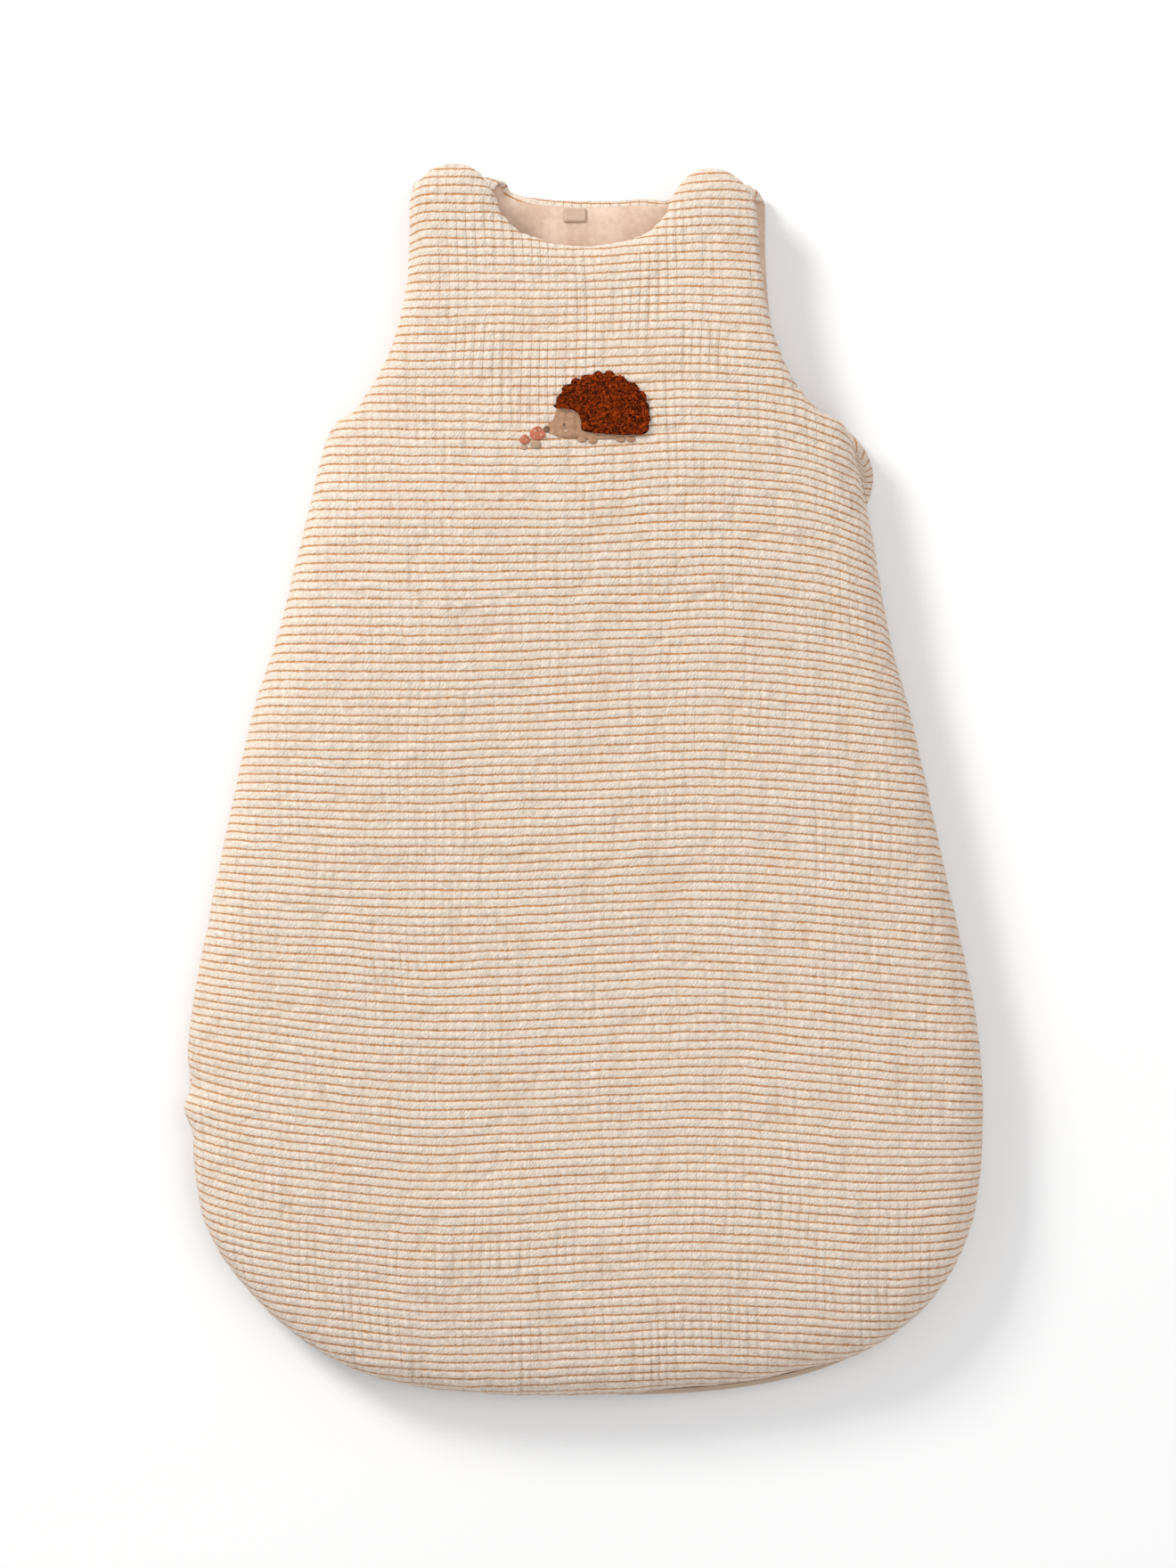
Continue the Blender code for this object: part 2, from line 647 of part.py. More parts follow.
# Shoulder tabs and their snaps
for side, sign in (("left", -1), ("right", 1)):
    tab_top = Heights.front(sign * TAB_CENTRE_X, TAB_SPLIT_Y)[1]
    hinge_at = (sign * TAB_CENTRE_X, TAB_SPLIT_Y, tab_top)
    tab_hinge = make_empty("front_tab_hinge_" + side, hinge_at, front_hinge)
    outline = [(sign * x, y) for x, y in front_tab_outline()][::sign]
    tab_plan = plan(outline, lambda point: FREE_RIM, grid=TAB_GRID)
    layer("front_tab_lining_" + side, tab_plan, Heights.front, low_layer(LINING), JERSEY, tab_hinge)
    layer("front_tab_wadding_" + side, tab_plan, Heights.front, fill_layer(LINING, SKIN), FILL, tab_hinge)
    layer("front_tab_outer_" + side, tab_plan, Heights.front, high_layer(SKIN), STRIPE, tab_hinge,
          core=False)

    inner_x = sign * BACK_NECK_HALF_WIDTH + BACK_SHOULDER_SHIFT
    outer_x = sign * BACK_STRAP_EDGE_X + BACK_SHOULDER_SHIFT
    for part, radii, finish in (("outer", FOLD_OUTER, STRIPE), ("wadding", FOLD_WADDING, FILL),
                                ("lining", FOLD_LINING, JERSEY)):
        fold = []
        for radius in radii:
            arc = [(BACK_FOLD_Y + GAP + radius * math.cos(a), FOLD_Z + radius * math.sin(a))
                   for a in (math.radians(-90 + 15 * i) for i in range(13))]
            fold.append(arc + [(BACK_TAB_END_Y, FOLD_Z + radius)])
        band(f"back_tab_{part}_{side}", fold[1], fold[0], inner_x, outer_x, finish)

    fold_top = FOLD_Z + FOLD_OUTER[1]
    disc = fold_top + GAP
    snap_at = (sign * SNAP_X, SNAP_Y)
    shoulder = disc + SNAP_DISC
    turned("snap_stud_" + side,
           [(0, disc), (SNAP_RADIUS, disc), (SNAP_RADIUS, shoulder), (STUD_RADIUS, shoulder),
            (STUD_RADIUS, disc + STUD_HEIGHT), (0, disc + STUD_HEIGHT)], snap_at, SNAP)
    ring = shoulder + GAP
    turned("snap_socket_" + side,
           [(SOCKET_HOLE_RADIUS, ring), (SNAP_RADIUS, ring), (SNAP_RADIUS, ring + SOCKET_HEIGHT),
            (SOCKET_HOLE_RADIUS, ring + SOCKET_HEIGHT)], snap_at, SNAP, tab_hinge)


# Zip, from the right underarm round the hem to the left side, and the closed seam above it
def side_place(along, inset, z):
    """A place beside the straight right side: along it from the zip's top, in from it, and up."""
    start = Vector((side_x(ZIP_TOP_Y), ZIP_TOP_Y))
    down = Vector((math.sin(SIDE_FLARE), -math.cos(SIDE_FLARE)))
    out = Vector((math.cos(SIDE_FLARE), math.sin(SIDE_FLARE)))
    return (*(start + down * along - out * inset), z)


def zip_path(start):
    """The edge under the zip, counter-clockwise from its left end, to a start below its top."""
    top = side_place(start, 0, 0)[:2]
    right = [p for p in side_and_armhole(STRAP_EDGE_X) if p[1] < top[1] - ZIP_CORNER_GAP]
    left = mirrored([p for p in right if p[1] <= WIDEST_Y + 1e-6])
    return left[:0:-1] + right + [top]


wall("zip_tape_back", zip_path(TAPE_OVER), TAPE_INSET, TAPE_BACK_Z, TAPE)
wall("zip_tape_front", zip_path(TAPE_OVER), TAPE_INSET, TAPE_FRONT_Z, TAPE, front_hinge)
wall("zip_coil_back", zip_path(COIL_BACK_START), COIL_INSET, COIL_BACK_Z, COIL)
wall("zip_coil_front", zip_path(COIL_FRONT_START), COIL_INSET, COIL_FRONT_Z, COIL, front_hinge)
wall("zip_guard", zip_path(0), GUARD_INSET, GUARD_Z, STRIPE)

seam_end_y = WIDEST_Y + SEAM_END_RISE
closed_right = [p for p in side_and_armhole(STRAP_EDGE_X)
                if seam_end_y < p[1] < UNDERARM_Y - UNDERARM_ROUND / 2 and p[0] > ALLOWANCE_REACH_X]
closed_side = mirrored([(HALF_WIDTH, seam_end_y)] + closed_right)[::-1]
wall("back_seam_allowance", closed_side, ALLOWANCE_INSET, ALLOWANCE_BACK_Z, STRIPE)
wall("front_seam_allowance", closed_side, ALLOWANCE_INSET, ALLOWANCE_FRONT_Z, STRIPE, front_hinge)


def side_block(name, along, insets, heights, finish, parent=None):
    profile = [(along[0], insets[0]), (along[1], insets[0]), (along[1], insets[1]), (along[0], insets[1])]
    return extruded(name, profile, side_place, heights[0], heights[1], finish, parent)


side_block("zip_top_stop_back", TOP_STOP_ALONG, TOP_STOP_INSET, TOP_STOP_BACK_Z, METAL)
side_block("zip_top_stop_front", TOP_STOP_ALONG, TOP_STOP_INSET, TOP_STOP_FRONT_Z, METAL, front_hinge)
side_block("zip_garage", GARAGE_ALONG, GARAGE_INSET, GARAGE_Z, STRIPE)

# Slider: two plates with turned-in flanges, joined by a post ahead of the coils
slide = make_empty("zip_slide", side_place(SLIDER_START, SLIDER_MID_INSET, ZIP_MID_Z))


def channel_ring(outside, inside_face, lip, along):
    """A cross-section of one plate and its two flanges, with the post's corners on its inner face."""
    low, high = SLIDER_Z
    post_low, post_high = SLIDER_POST_Z
    profile = [(outside, low), (lip, low), (lip, low + FLANGE), (inside_face, low + FLANGE),
               (inside_face, post_low), (inside_face, post_high), (inside_face, high - FLANGE),
               (lip, high - FLANGE), (lip, high), (outside, high)]
    return [side_place(along, inset, z) for inset, z in profile]


def make_slider_body():
    """Both plates, with the post between them over the slider's first stretch only."""
    mesh = bmesh.new()
    rings = []
    stations = (SLIDER_START, POST_END, SLIDER_START + SLIDER_LENGTH)
    for plate in (OUTER_PLATE, INNER_PLATE):
        rings.append([[mesh.verts.new(v) for v in channel_ring(*plate, s)] for s in stations])
    for near, middle, far in rings:
        mesh.faces.new(near)
        mesh.faces.new(far[::-1])
        for i in range(len(near)):
            if i != 5:
                mesh.faces.new((near[i - 1], near[i], middle[i], middle[i - 1]))
            mesh.faces.new((middle[i - 1], middle[i], far[i], far[i - 1]))
    (outer_near, outer_end, _), (inner_near, inner_end, _) = rings
    for ring_a, ring_b in ((outer_near, inner_near), (outer_end, inner_end)):
        mesh.faces.new((ring_a[4], ring_a[5], ring_b[5], ring_b[4]))
    for i in (4, 5):
        mesh.faces.new((outer_near[i], outer_end[i], inner_end[i], inner_near[i]))
    bmesh.ops.triangulate(mesh, faces=mesh.faces)
    bmesh.ops.recalc_face_normals(mesh, faces=mesh.faces)
    mesh.verts.index_update()
    verts = [v.co.copy() for v in mesh.verts]
    faces = [[v.index for v in f.verts] for f in mesh.faces]
    mesh.free()
    return make_object("slider_body", verts, faces, METAL, slide)


make_slider_body()

bail_from, bail_to = BAIL_ENDS
foot, crown = BAIL_INSET[1], BAIL_INSET[0]
under = crown + BAIL_BAR
bail_profile = [(bail_from, crown), (bail_to, crown), (bail_to, foot), (bail_to - BAIL_WIRE, foot),
                (bail_to - BAIL_WIRE, under), (bail_from + BAIL_WIRE, under),
                (bail_from + BAIL_WIRE, foot), (bail_from, foot)]
extruded("slider_bail", bail_profile, side_place, *BAIL_Z, METAL, slide)

# Puller: a flat tab whose loop turns under the bail
pivot_along, pivot_inset = PULLER_PIVOT
pivot = make_empty("puller_pivot", side_place(pivot_along, pivot_inset, ZIP_MID_Z), slide)
root_end = pivot_along - PULLER_HALF_THICK
tip = pivot_along + PULLER_LENGTH
corner_from, corner_side = tip - PULLER_CORNER, PULLER_HALF_WIDTH - PULLER_CORNER
shape = [(root_end, -PULLER_HALF_WIDTH), (corner_from, -PULLER_HALF_WIDTH), (tip, -corner_side),
         (tip, corner_side), (corner_from, PULLER_HALF_WIDTH), (root_end, PULLER_HALF_WIDTH)]
puller_faces = (pivot_inset - PULLER_HALF_THICK, pivot_inset + PULLER_HALF_THICK)
puller = extruded("puller", shape, lambda a, b, c: side_place(a, c, ZIP_MID_Z + b), *puller_faces,
                  METAL, pivot)
cutter = side_block("puller_hole", (pivot_along + PULLER_HALF_THICK, pivot_along + HOLE_LENGTH),
                    (puller_faces[0] - CUT_MARGIN, puller_faces[1] + CUT_MARGIN),
                    (ZIP_MID_Z - HOLE_HALF_WIDTH, ZIP_MID_Z + HOLE_HALF_WIDTH), METAL, pivot)
cutter.hide_render = True
cutter.display_type = "WIRE"
hole_cut = puller.modifiers.new("hole", "BOOLEAN")
hole_cut.operation = "DIFFERENCE"
hole_cut.object = cutter

# The zip's bottom stop, on the left where the closed seam ends
end_x, end_y = zip_path(0)[0]
stop_x = [end_x + inset + over for inset, over in zip(COIL_INSET, BOTTOM_STOP_OVERLAP)]
stop_from = end_y + BOTTOM_STOP_SETBACK
stop_to = stop_from + BOTTOM_STOP_LENGTH
stop = [(stop_x[0], stop_from), (stop_x[1], stop_from), (stop_x[1], stop_to), (stop_x[0], stop_to)]
extruded("zip_bottom_stop", stop, lambda a, b, c: (a, b, c), *BOTTOM_STOP_Z, METAL)


# Hedgehog patch on the chest: a looped half oval with a scalloped back
def patch_point(t):
    """Counter-clockwise over the back from the tail, and along the flat belly."""
    if t <= BACK_SHARE:
        angle = math.pi * t / BACK_SHARE
        bump = SCALLOP_DEPTH * abs(math.sin(SCALLOPS * angle))
        x = (PATCH_HALF_WIDTH + bump) * math.cos(angle)
        y = (PATCH_HEIGHT + bump) * math.sin(angle) ** 0.8
    else:
        turn = (t - BACK_SHARE) / (1 - BACK_SHARE)
        x = PATCH_HALF_WIDTH * (2 * turn - 1)
        y = -PATCH_BELLY_SAG * math.sin(math.pi * turn)
    return (PATCH_CENTRE[0] + x, PATCH_CENTRE[1] + y)


patch_outline = [patch_point(i / PATCH_POINTS) for i in range(PATCH_POINTS)]
patch_plan = plan(patch_outline, lambda point: PATCH_RIM, grid=PATCH_GRID)
layer("hedgehog_patch", patch_plan, Heights.front,
      lambda low, high: (high + GAP, high + GAP + PATCH_THICK), BOUCLE, front_hinge, core=False)
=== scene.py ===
"""Looks of the baby sleeping bag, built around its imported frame.

Metres, +Z up, head end to +Y, as in the frame. Each half is a closed quilt: a fine lattice laid out in
the cloth's own coordinates, so that the stripes and crinkles follow the fabric, with rolled edges.
Cloth coordinates (across, along, distance from the edge) are kept on each mesh, in millimetres.
"""
import json
import math

import bpy
import numpy as np
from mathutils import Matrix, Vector
from mathutils.bvhtree import BVHTree
from mathutils.geometry import delaunay_2d_cdt
from mathutils.kdtree import KDTree

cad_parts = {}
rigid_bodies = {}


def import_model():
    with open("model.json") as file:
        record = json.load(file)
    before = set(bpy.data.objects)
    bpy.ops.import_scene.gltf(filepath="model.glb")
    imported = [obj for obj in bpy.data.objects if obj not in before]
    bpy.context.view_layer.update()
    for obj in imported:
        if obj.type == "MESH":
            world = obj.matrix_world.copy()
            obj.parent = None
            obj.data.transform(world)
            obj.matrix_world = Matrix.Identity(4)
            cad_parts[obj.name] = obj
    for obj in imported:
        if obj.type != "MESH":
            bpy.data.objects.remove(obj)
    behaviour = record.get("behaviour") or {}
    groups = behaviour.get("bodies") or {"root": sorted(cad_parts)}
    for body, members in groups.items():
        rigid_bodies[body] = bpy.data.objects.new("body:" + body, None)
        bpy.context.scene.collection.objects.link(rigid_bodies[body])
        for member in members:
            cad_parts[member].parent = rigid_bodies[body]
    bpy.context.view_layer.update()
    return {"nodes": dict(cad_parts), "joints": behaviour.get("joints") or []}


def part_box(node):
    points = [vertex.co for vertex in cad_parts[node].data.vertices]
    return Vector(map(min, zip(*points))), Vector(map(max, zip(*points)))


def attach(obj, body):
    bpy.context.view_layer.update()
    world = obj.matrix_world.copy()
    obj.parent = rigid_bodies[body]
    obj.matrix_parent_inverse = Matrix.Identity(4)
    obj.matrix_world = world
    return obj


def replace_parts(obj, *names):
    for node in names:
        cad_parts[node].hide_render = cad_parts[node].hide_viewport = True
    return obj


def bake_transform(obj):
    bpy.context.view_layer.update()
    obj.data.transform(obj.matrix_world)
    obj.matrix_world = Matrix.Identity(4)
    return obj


for old in list(bpy.data.objects):
    bpy.data.objects.remove(old, do_unlink=True)
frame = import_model()

# ---- The cut of the bag, as in the frame ----
HALF_WIDTH = 0.2265
WIDEST_Y = -0.187
TOP_Y = 0.350
HEM_EXPONENT = 2.8
SIDE_FLARE = math.radians(12.2)
SIDE_ARC_TOP_Y = -0.114
LEFT_SIDE_BOW = 0.0035
LEFT_UNDERARM_DRAW = 0.0052
LEFT_CORNER_DRAW = 0.0060
LEFT_HEM_DRAW = 0.0022
LEFT_ZIP_FOLD = ((0.0030, -0.172, 0.010), (-0.0022, -0.187, 0.008), (0.0022, -0.202, 0.010))
HEM_DRAW = 0.0034
HEM_DRAW_LEAN = math.radians(42)
RIGHT_TAB_SETTLE = 0.0030
RIGHT_WAIST_DRAW = 0.0028
UNDERARM_Y = 0.204
UNDERARM_ROUND = 0.014
ARMHOLE_TOP_Y = 0.310
ARMHOLE_HALF_WIDTH = 0.051
STRAP_EDGE_X = 0.099
TAB_RADIUS = 0.02475
NECK_BOTTOM_Y = 0.303
NECK_EXPONENT = 1.85
TAB_SPLIT_Y = 0.316
TAB_LEAN = 0.25
BACK_STRAP_EDGE_X = 0.1005
BACK_SHOULDER_SHIFT = 0.002
BACK_NECK_HALF_WIDTH = 0.045
BACK_NECK_BOTTOM_Y = 0.3324
BACK_FOLD_Y = 0.3384
BACK_UNDERARM_BULGE = 0.010
BULGE_BOTTOM_Y = 0.154
BACK_TAB_DRAW = 0.0045
ARMHOLE_EDGE_OUT = 0.0012
ARMHOLE_EDGE_DIP = 0.0020
RIGHT_FOLD_DROP = 0.004
FOLD_DROP_X = (0.028, 0.055)
FOLD_CORNER = 0.010
LEFT_CORNER_DROP = 0.0015
RIGHT_CORNER_DROP = 0.0060
FOLD_TAPER = 0.28
FOLD_CENTRE_X = 0.073
OUTLINE_STEP = 0.002
HEM_DEPTH = TOP_Y + WIDEST_Y
SIDE_ARC_RADIUS = (SIDE_ARC_TOP_Y - WIDEST_Y) / math.sin(SIDE_FLARE)
TAB_CENTRE_X = STRAP_EDGE_X - TAB_RADIUS
TAB_CENTRE_Y = TOP_Y - TAB_RADIUS
NECK_HALF_WIDTH = STRAP_EDGE_X - 2 * TAB_RADIUS
SEAM_TOP_Y = 0.197

# ---- Layers ----
SEAM_RIM = 0.0115
RIM_CHANGE_Y = (0.174, 0.204)
LINING_FREE_RIM = 0.0018
LINING_NECK_RIM = 0.0045
LINING_STRAP_RIM = 0.0004
BACK_THICK = 0.013
BACK_THIN = 0.0081
BACK_TAB_THICK = 0.0072
BACK_THINNING_Y = (0.230, 0.308)
BACK_EDGE_MID_Z = 0.0055
FRONT_THICK = 0.014
FRONT_SHOULDER_THICK = 0.011
FRONT_SEAM_Z = 0.018
FRONT_MID_Z = 0.035
FRONT_SHOULDER_Z = 0.0262
DOME_WIDTH = 0.110
EDGE_ROUND = 0.022
FRONT_LIPS = (0.01195, 0.0173)
BACK_LIPS = (0.01155, 0.0064)
LIP_ROUND = 0.0035
BACK_TAB_MID_Z = 0.0044
FOLD_Z = 0.0085
FOLD_MID_RADIUS = 0.0040
BACK_TAB_LEG = 0.0264
BACK_TAB_EXPONENT = 3.2
RIM_IN = 0.0052
RINGS = (RIM_IN, 0.0037, 0.0025, 0.0015, 0.0008, 0.0003, 0.00006)
LATTICE_GAP = 0.0011
INNER_FACE_GRID = 0.008
LINING_GRID = 0.004
LINING_GAP = 0.0005
LINING_THICK = 0.0004

# ---- How far in from the seam's hinge the front would bend; the points worked out from these are not used ----
FRONT_BEND = (0.009, 0.027)

# ---- Stripes and crinkle ----
PITCH = 0.00495
STEP_V = PITCH / 4
STEP_U = 0.0014
PUFF = 0.00095
CRINKLE = 0.00080
GATHER = 0.00090
PLEAT = 0.0052
FRONT_SEED = 31
BACK_SEED = 57

MM = 1000


# ---- Small helpers on arrays ----
def smoothstep(low, high, value):
    t = np.clip((np.asarray(value, float) - low) / (high - low), 0, 1)
    return t * t * (3 - 2 * t)


def softplus(value, width):
    return width * np.logaddexp(0, np.asarray(value, float) / width)


def mix(a, b, share):
    return a + (b - a) * share


def bell(value, middle, width):
    return np.exp(-((value - middle) / width) ** 2)


def slope(degrees):
    return math.tan(math.radians(degrees))


NOISE = {}


def value_noise(x, y, seed):
    """Smooth seeded noise from -1 to 1, one cell for each unit."""
    if seed not in NOISE:
        NOISE[seed] = np.random.default_rng(seed).uniform(-1, 1, (256, 256))
    table = NOISE[seed]
    x, y = np.asarray(x, float) + 512, np.asarray(y, float) + 512
    ix, iy = np.floor(x).astype(int), np.floor(y).astype(int)
    fx, fy = x - ix, y - iy
    fx, fy = fx * fx * (3 - 2 * fx), fy * fy * (3 - 2 * fy)
    a, b = table[ix % 256, iy % 256], table[(ix + 1) % 256, iy % 256]
    c, d = table[ix % 256, (iy + 1) % 256], table[(ix + 1) % 256, (iy + 1) % 256]
    return mix(mix(a, b, fx), mix(c, d, fx), fy)


# ---- Outlines ----
def superellipse(angle, exponent):
    cos, sin = np.cos(angle), np.sin(angle)
    power = 2 / exponent
    return np.stack([np.sign(cos) * np.abs(cos) ** power, np.sign(sin) * np.abs(sin) ** power], -1)


def side_x(y):
    arc_top = HALF_WIDTH - SIDE_ARC_RADIUS * (1 - math.cos(SIDE_FLARE))
    return arc_top - (y - SIDE_ARC_TOP_Y) * math.tan(SIDE_FLARE)


def neck_curve(half_width, top_y, bottom_y):
    curve = superellipse(math.pi / 2 * np.linspace(0, 1, 120), NECK_EXPONENT)
    return curve * (half_width, bottom_y - top_y) + (0, top_y)


def armhole_point(angle, strap_x):
    reach = side_x(UNDERARM_Y) - strap_x
    depth = ARMHOLE_TOP_Y - UNDERARM_Y
    return np.stack([strap_x + reach * (1 - np.sin(angle)), ARMHOLE_TOP_Y - depth * np.cos(angle)], -1)


def side_and_armhole(strap_x):
    """From the middle of the hem up the right side and round the armhole."""
    t = np.linspace(0, 1, 400)[:, None]
    hem = superellipse(-math.pi / 2 * (1 - t[:, 0]), HEM_EXPONENT) * (HALF_WIDTH, HEM_DEPTH) + (0, WIDEST_Y)
    turn = SIDE_FLARE * t[:, 0]
    arc = np.stack([HALF_WIDTH - SIDE_ARC_RADIUS * (1 - np.cos(turn)),
                    WIDEST_Y + SIDE_ARC_RADIUS * np.sin(turn)], -1)
    corner = np.array([side_x(UNDERARM_Y), UNDERARM_Y])
    below = np.array([side_x(UNDERARM_Y - UNDERARM_ROUND), UNDERARM_Y - UNDERARM_ROUND])
    round_angle = UNDERARM_ROUND / ARMHOLE_HALF_WIDTH
    above = armhole_point(np.array(round_angle), strap_x)
    straight = arc[-1] + (below - arc[-1]) * t
    rounded = (1 - t) ** 2 * below + 2 * t * (1 - t) * corner + t * t * above
    armhole = armhole_point(round_angle + (math.pi / 2 - round_angle) * t[:, 0], strap_x)
    return np.concatenate([hem, arc, straight, rounded, armhole])


def closed_loop(right):
    """Both sides of the bag from the right one, each with its own small draws and bows."""
    left = right.copy()
    along = np.clip((left[:, 1] - WIDEST_Y) / (UNDERARM_Y - WIDEST_Y), 0, 1)
    on_side = left[:, 0] > STRAP_EDGE_X + ARMHOLE_HALF_WIDTH / 2
    left[:, 0] = -left[:, 0] - LEFT_SIDE_BOW * np.sin(math.pi * along) * on_side
    y = left[:, 1]
    left[:, 0] += LEFT_UNDERARM_DRAW * smoothstep(0.030, 0.100, y) * smoothstep(0.222, 0.198, y) * on_side
    left[:, 0] += LEFT_HEM_DRAW * bell(y, -0.225, 0.022)
    corner = np.exp(-((left[:, 0] + 0.187) ** 2 + (y + 0.290) ** 2) / 0.061 ** 2)
    corner *= smoothstep(-0.105, -0.150, left[:, 0])
    left += LEFT_CORNER_DRAW * corner[:, None]
    right = right.copy()
    right[:, 0] -= RIGHT_WAIST_DRAW * bell(right[:, 1], 0.085, 0.040) * (right[:, 0] > 0.12)
    return np.concatenate([right, left[::-1]])


def lengths(points):
    """How far along a line each of its points is."""
    return np.concatenate([[0], np.cumsum(np.linalg.norm(np.diff(points, axis=0), axis=1))])


def read_along(values, run, at):
    return np.stack([np.interp(at, run, values[:, i]) for i in (0, 1)], -1)


def resample(points, step):
    """Points at even steps round a closed line."""
    points = np.concatenate([points, points[:1]])
    run = np.linalg.norm(np.diff(points, axis=0), axis=1)
    points = points[np.concatenate([[True], run > 1e-7])]
    run = lengths(points)
    return read_along(points, run, np.linspace(0, run[-1], int(round(run[-1] / step)) + 1)[:-1])


def front_outline(settled=True):
    turn = math.pi * np.linspace(0, 1, 120)
    tab = np.stack([TAB_CENTRE_X + TAB_RADIUS * np.cos(turn), TAB_CENTRE_Y + TAB_RADIUS * np.sin(turn)], -1)
    top = np.concatenate([tab, neck_curve(NECK_HALF_WIDTH, TAB_CENTRE_Y, NECK_BOTTOM_Y)])
    near = bell(top[:, 0], NECK_HALF_WIDTH, 0.009) * smoothstep(0.306, 0.318, top[:, 1])
    top[:, 0] += TAB_LEAN * (top[:, 1] - 0.328) * near
    loop = closed_loop(np.concatenate([side_and_armhole(STRAP_EDGE_X), top]))
    return resample(settle(loop) if settled else loop, OUTLINE_STEP)


def settle(points):
    """How the front lies: its right tab a little lower, a slight fold at the left end of the zip, and the
    hem drawn in at the right where the zip shows."""
    x, y = points[:, 0].copy(), points[:, 1].copy()
    on_tab = smoothstep(0.300, 0.345, y) * (x > 0)
    x -= RIGHT_TAB_SETTLE * on_tab
    y -= RIGHT_TAB_SETTLE * on_tab
    on_left = smoothstep(-0.150, -0.215, x)
    for depth, place, reach in LEFT_ZIP_FOLD:
        x += on_left * depth * bell(y, place, reach)
    drawn = HEM_DRAW * smoothstep(-0.002, 0.060, x) * smoothstep(0.162, 0.128, x)
    drawn = drawn * smoothstep(-0.20, -0.25, y)
    tilt = HEM_DRAW_LEAN * np.clip(x / 0.160, 0, 1) ** 2.5
    x -= drawn * np.sin(tilt)
    y += drawn * np.cos(tilt)
    return np.stack([x, y], -1)


def back_outline():
    """The back with its shoulder tabs opened out flat."""
    length = FOLD_MID_RADIUS * math.pi + BACK_TAB_LEG
    radius = (BACK_STRAP_EDGE_X - BACK_NECK_HALF_WIDTH) / 2
    tab = superellipse(math.pi * np.linspace(0, 1, 120), BACK_TAB_EXPONENT) * (radius, radius)
    tab += (BACK_NECK_HALF_WIDTH + radius, BACK_FOLD_Y + length - radius)
    neck = neck_curve(BACK_NECK_HALF_WIDTH, BACK_FOLD_Y, BACK_NECK_BOTTOM_Y)
    loop = closed_loop(np.concatenate([side_and_armhole(BACK_STRAP_EDGE_X), tab, neck]))
    x, y = loop[:, 0], loop[:, 1]
    along = np.clip((y - BULGE_BOTTOM_Y) / (UNDERARM_Y - BULGE_BOTTOM_Y), 0, 1)
    x = x + BACK_SHOULDER_SHIFT * smoothstep(UNDERARM_Y, ARMHOLE_TOP_Y, y)
    x = x + BACK_UNDERARM_BULGE * np.sin(math.pi * along) * (loop[:, 0] > 0.1)
    x = x + BACK_TAB_DRAW * smoothstep(0.322, 0.345, y) * (x > 0) * smoothstep(0.080, 0.055, x)
    y = y - RIGHT_FOLD_DROP * smoothstep(0.300, 0.333, y) * smoothstep(*FOLD_DROP_X, x)
    x = x + ARMHOLE_EDGE_OUT * smoothstep(0.240, 0.300, y) * (x > 0.09)
    x = x - ARMHOLE_EDGE_DIP * bell(y, 0.230, 0.018) * (x > 0.09)
    return resample(np.stack([x, y], -1), OUTLINE_STEP)


def seam_of(loop):
    """The stretch of an outline where the halves meet: right underarm, hem, left underarm."""
    line = loop[loop[:, 1] < SEAM_TOP_Y]
    gaps = np.linalg.norm(line - np.roll(line, 1, 0), axis=1)
    return np.roll(line, -int(np.argmax(gaps)), 0)


def inward_normals(points, closed=True):
    if closed:
        tangent = np.roll(points, -1, 0) - np.roll(points, 1, 0)
    else:
        tangent = np.gradient(points, axis=0)
    tangent /= np.linalg.norm(tangent, axis=1)[:, None]
    return np.stack([-tangent[:, 1], tangent[:, 0]], -1)


def line_distance(points, line, closed=False):
    """Distance of each point from a line, and for a closed line negative outside it."""
    count = len(line)
    tree = KDTree(count)
    for i, (x, y) in enumerate(line.tolist()):
        tree.insert((x, y, 0), i)
    tree.balance()
    find = tree.find
    nearest = np.array([find((x, y, 0))[1] for x, y in points.tolist()], int)
    best, sign = np.full(len(points), 9.0), np.ones(len(points))
    for step in (-1, 0):
        start = nearest + step
        end = start + 1
        if closed:
            start, end = start % count, end % count
        else:
            start, end = np.clip(start, 0, count - 1), np.clip(end, 0, count - 1)
        run = line[end] - line[start]
        to = points - line[start]
        share = np.clip((to * run).sum(1) / np.maximum((run ** 2).sum(1), 1e-16), 0, 1)
        gap = np.linalg.norm(to - run * share[:, None], axis=1)
        left = run[:, 0] * to[:, 1] - run[:, 1] * to[:, 0] >= 0
        nearer = gap < best
        best = np.where(nearer, gap, best)
        sign = np.where(nearer, np.where(left, 1, -1), sign)
    return best * sign if closed else best


# ---- How the stripes run ----
def rise(u, v):
    """How far a stripe has climbed at u, over its height in the middle of the bag."""
    flank = mix(slope(0.6), slope(6.0), smoothstep(0.06, -0.20, v))
    middle = slope(2.4)
    result = middle * u
    result += (flank + middle) * softplus(mix(-0.088, -0.018, smoothstep(0.05, 0.19, v)) - u, 0.014)
    result -= (middle + slope(5.2)) * softplus(u - 0.078, 0.012)
    edge = side_x(np.clip(v, SIDE_ARC_TOP_Y, UNDERARM_Y))
    chest = smoothstep(0.03, 0.09, v)
    result -= chest * slope(15) * softplus(u - np.maximum(edge - 0.030, 0.085), 0.007)
    result += smoothstep(-0.10, -0.20, v) * slope(8) * softplus(-u - 0.188, 0.008)
    result += smoothstep(-0.16, -0.24, v) * slope(7) * softplus(u - 0.165, 0.010)
    strap = smoothstep(0.27, 0.31, v)
    result -= strap * slope(22) * softplus(-u - 0.092, 0.0018)
    result += 0.0009 * value_noise(u / 0.045, v / 0.05, 11)
    result += 0.0003 * value_noise(u / 0.011, v / 0.012, 12)
    return result


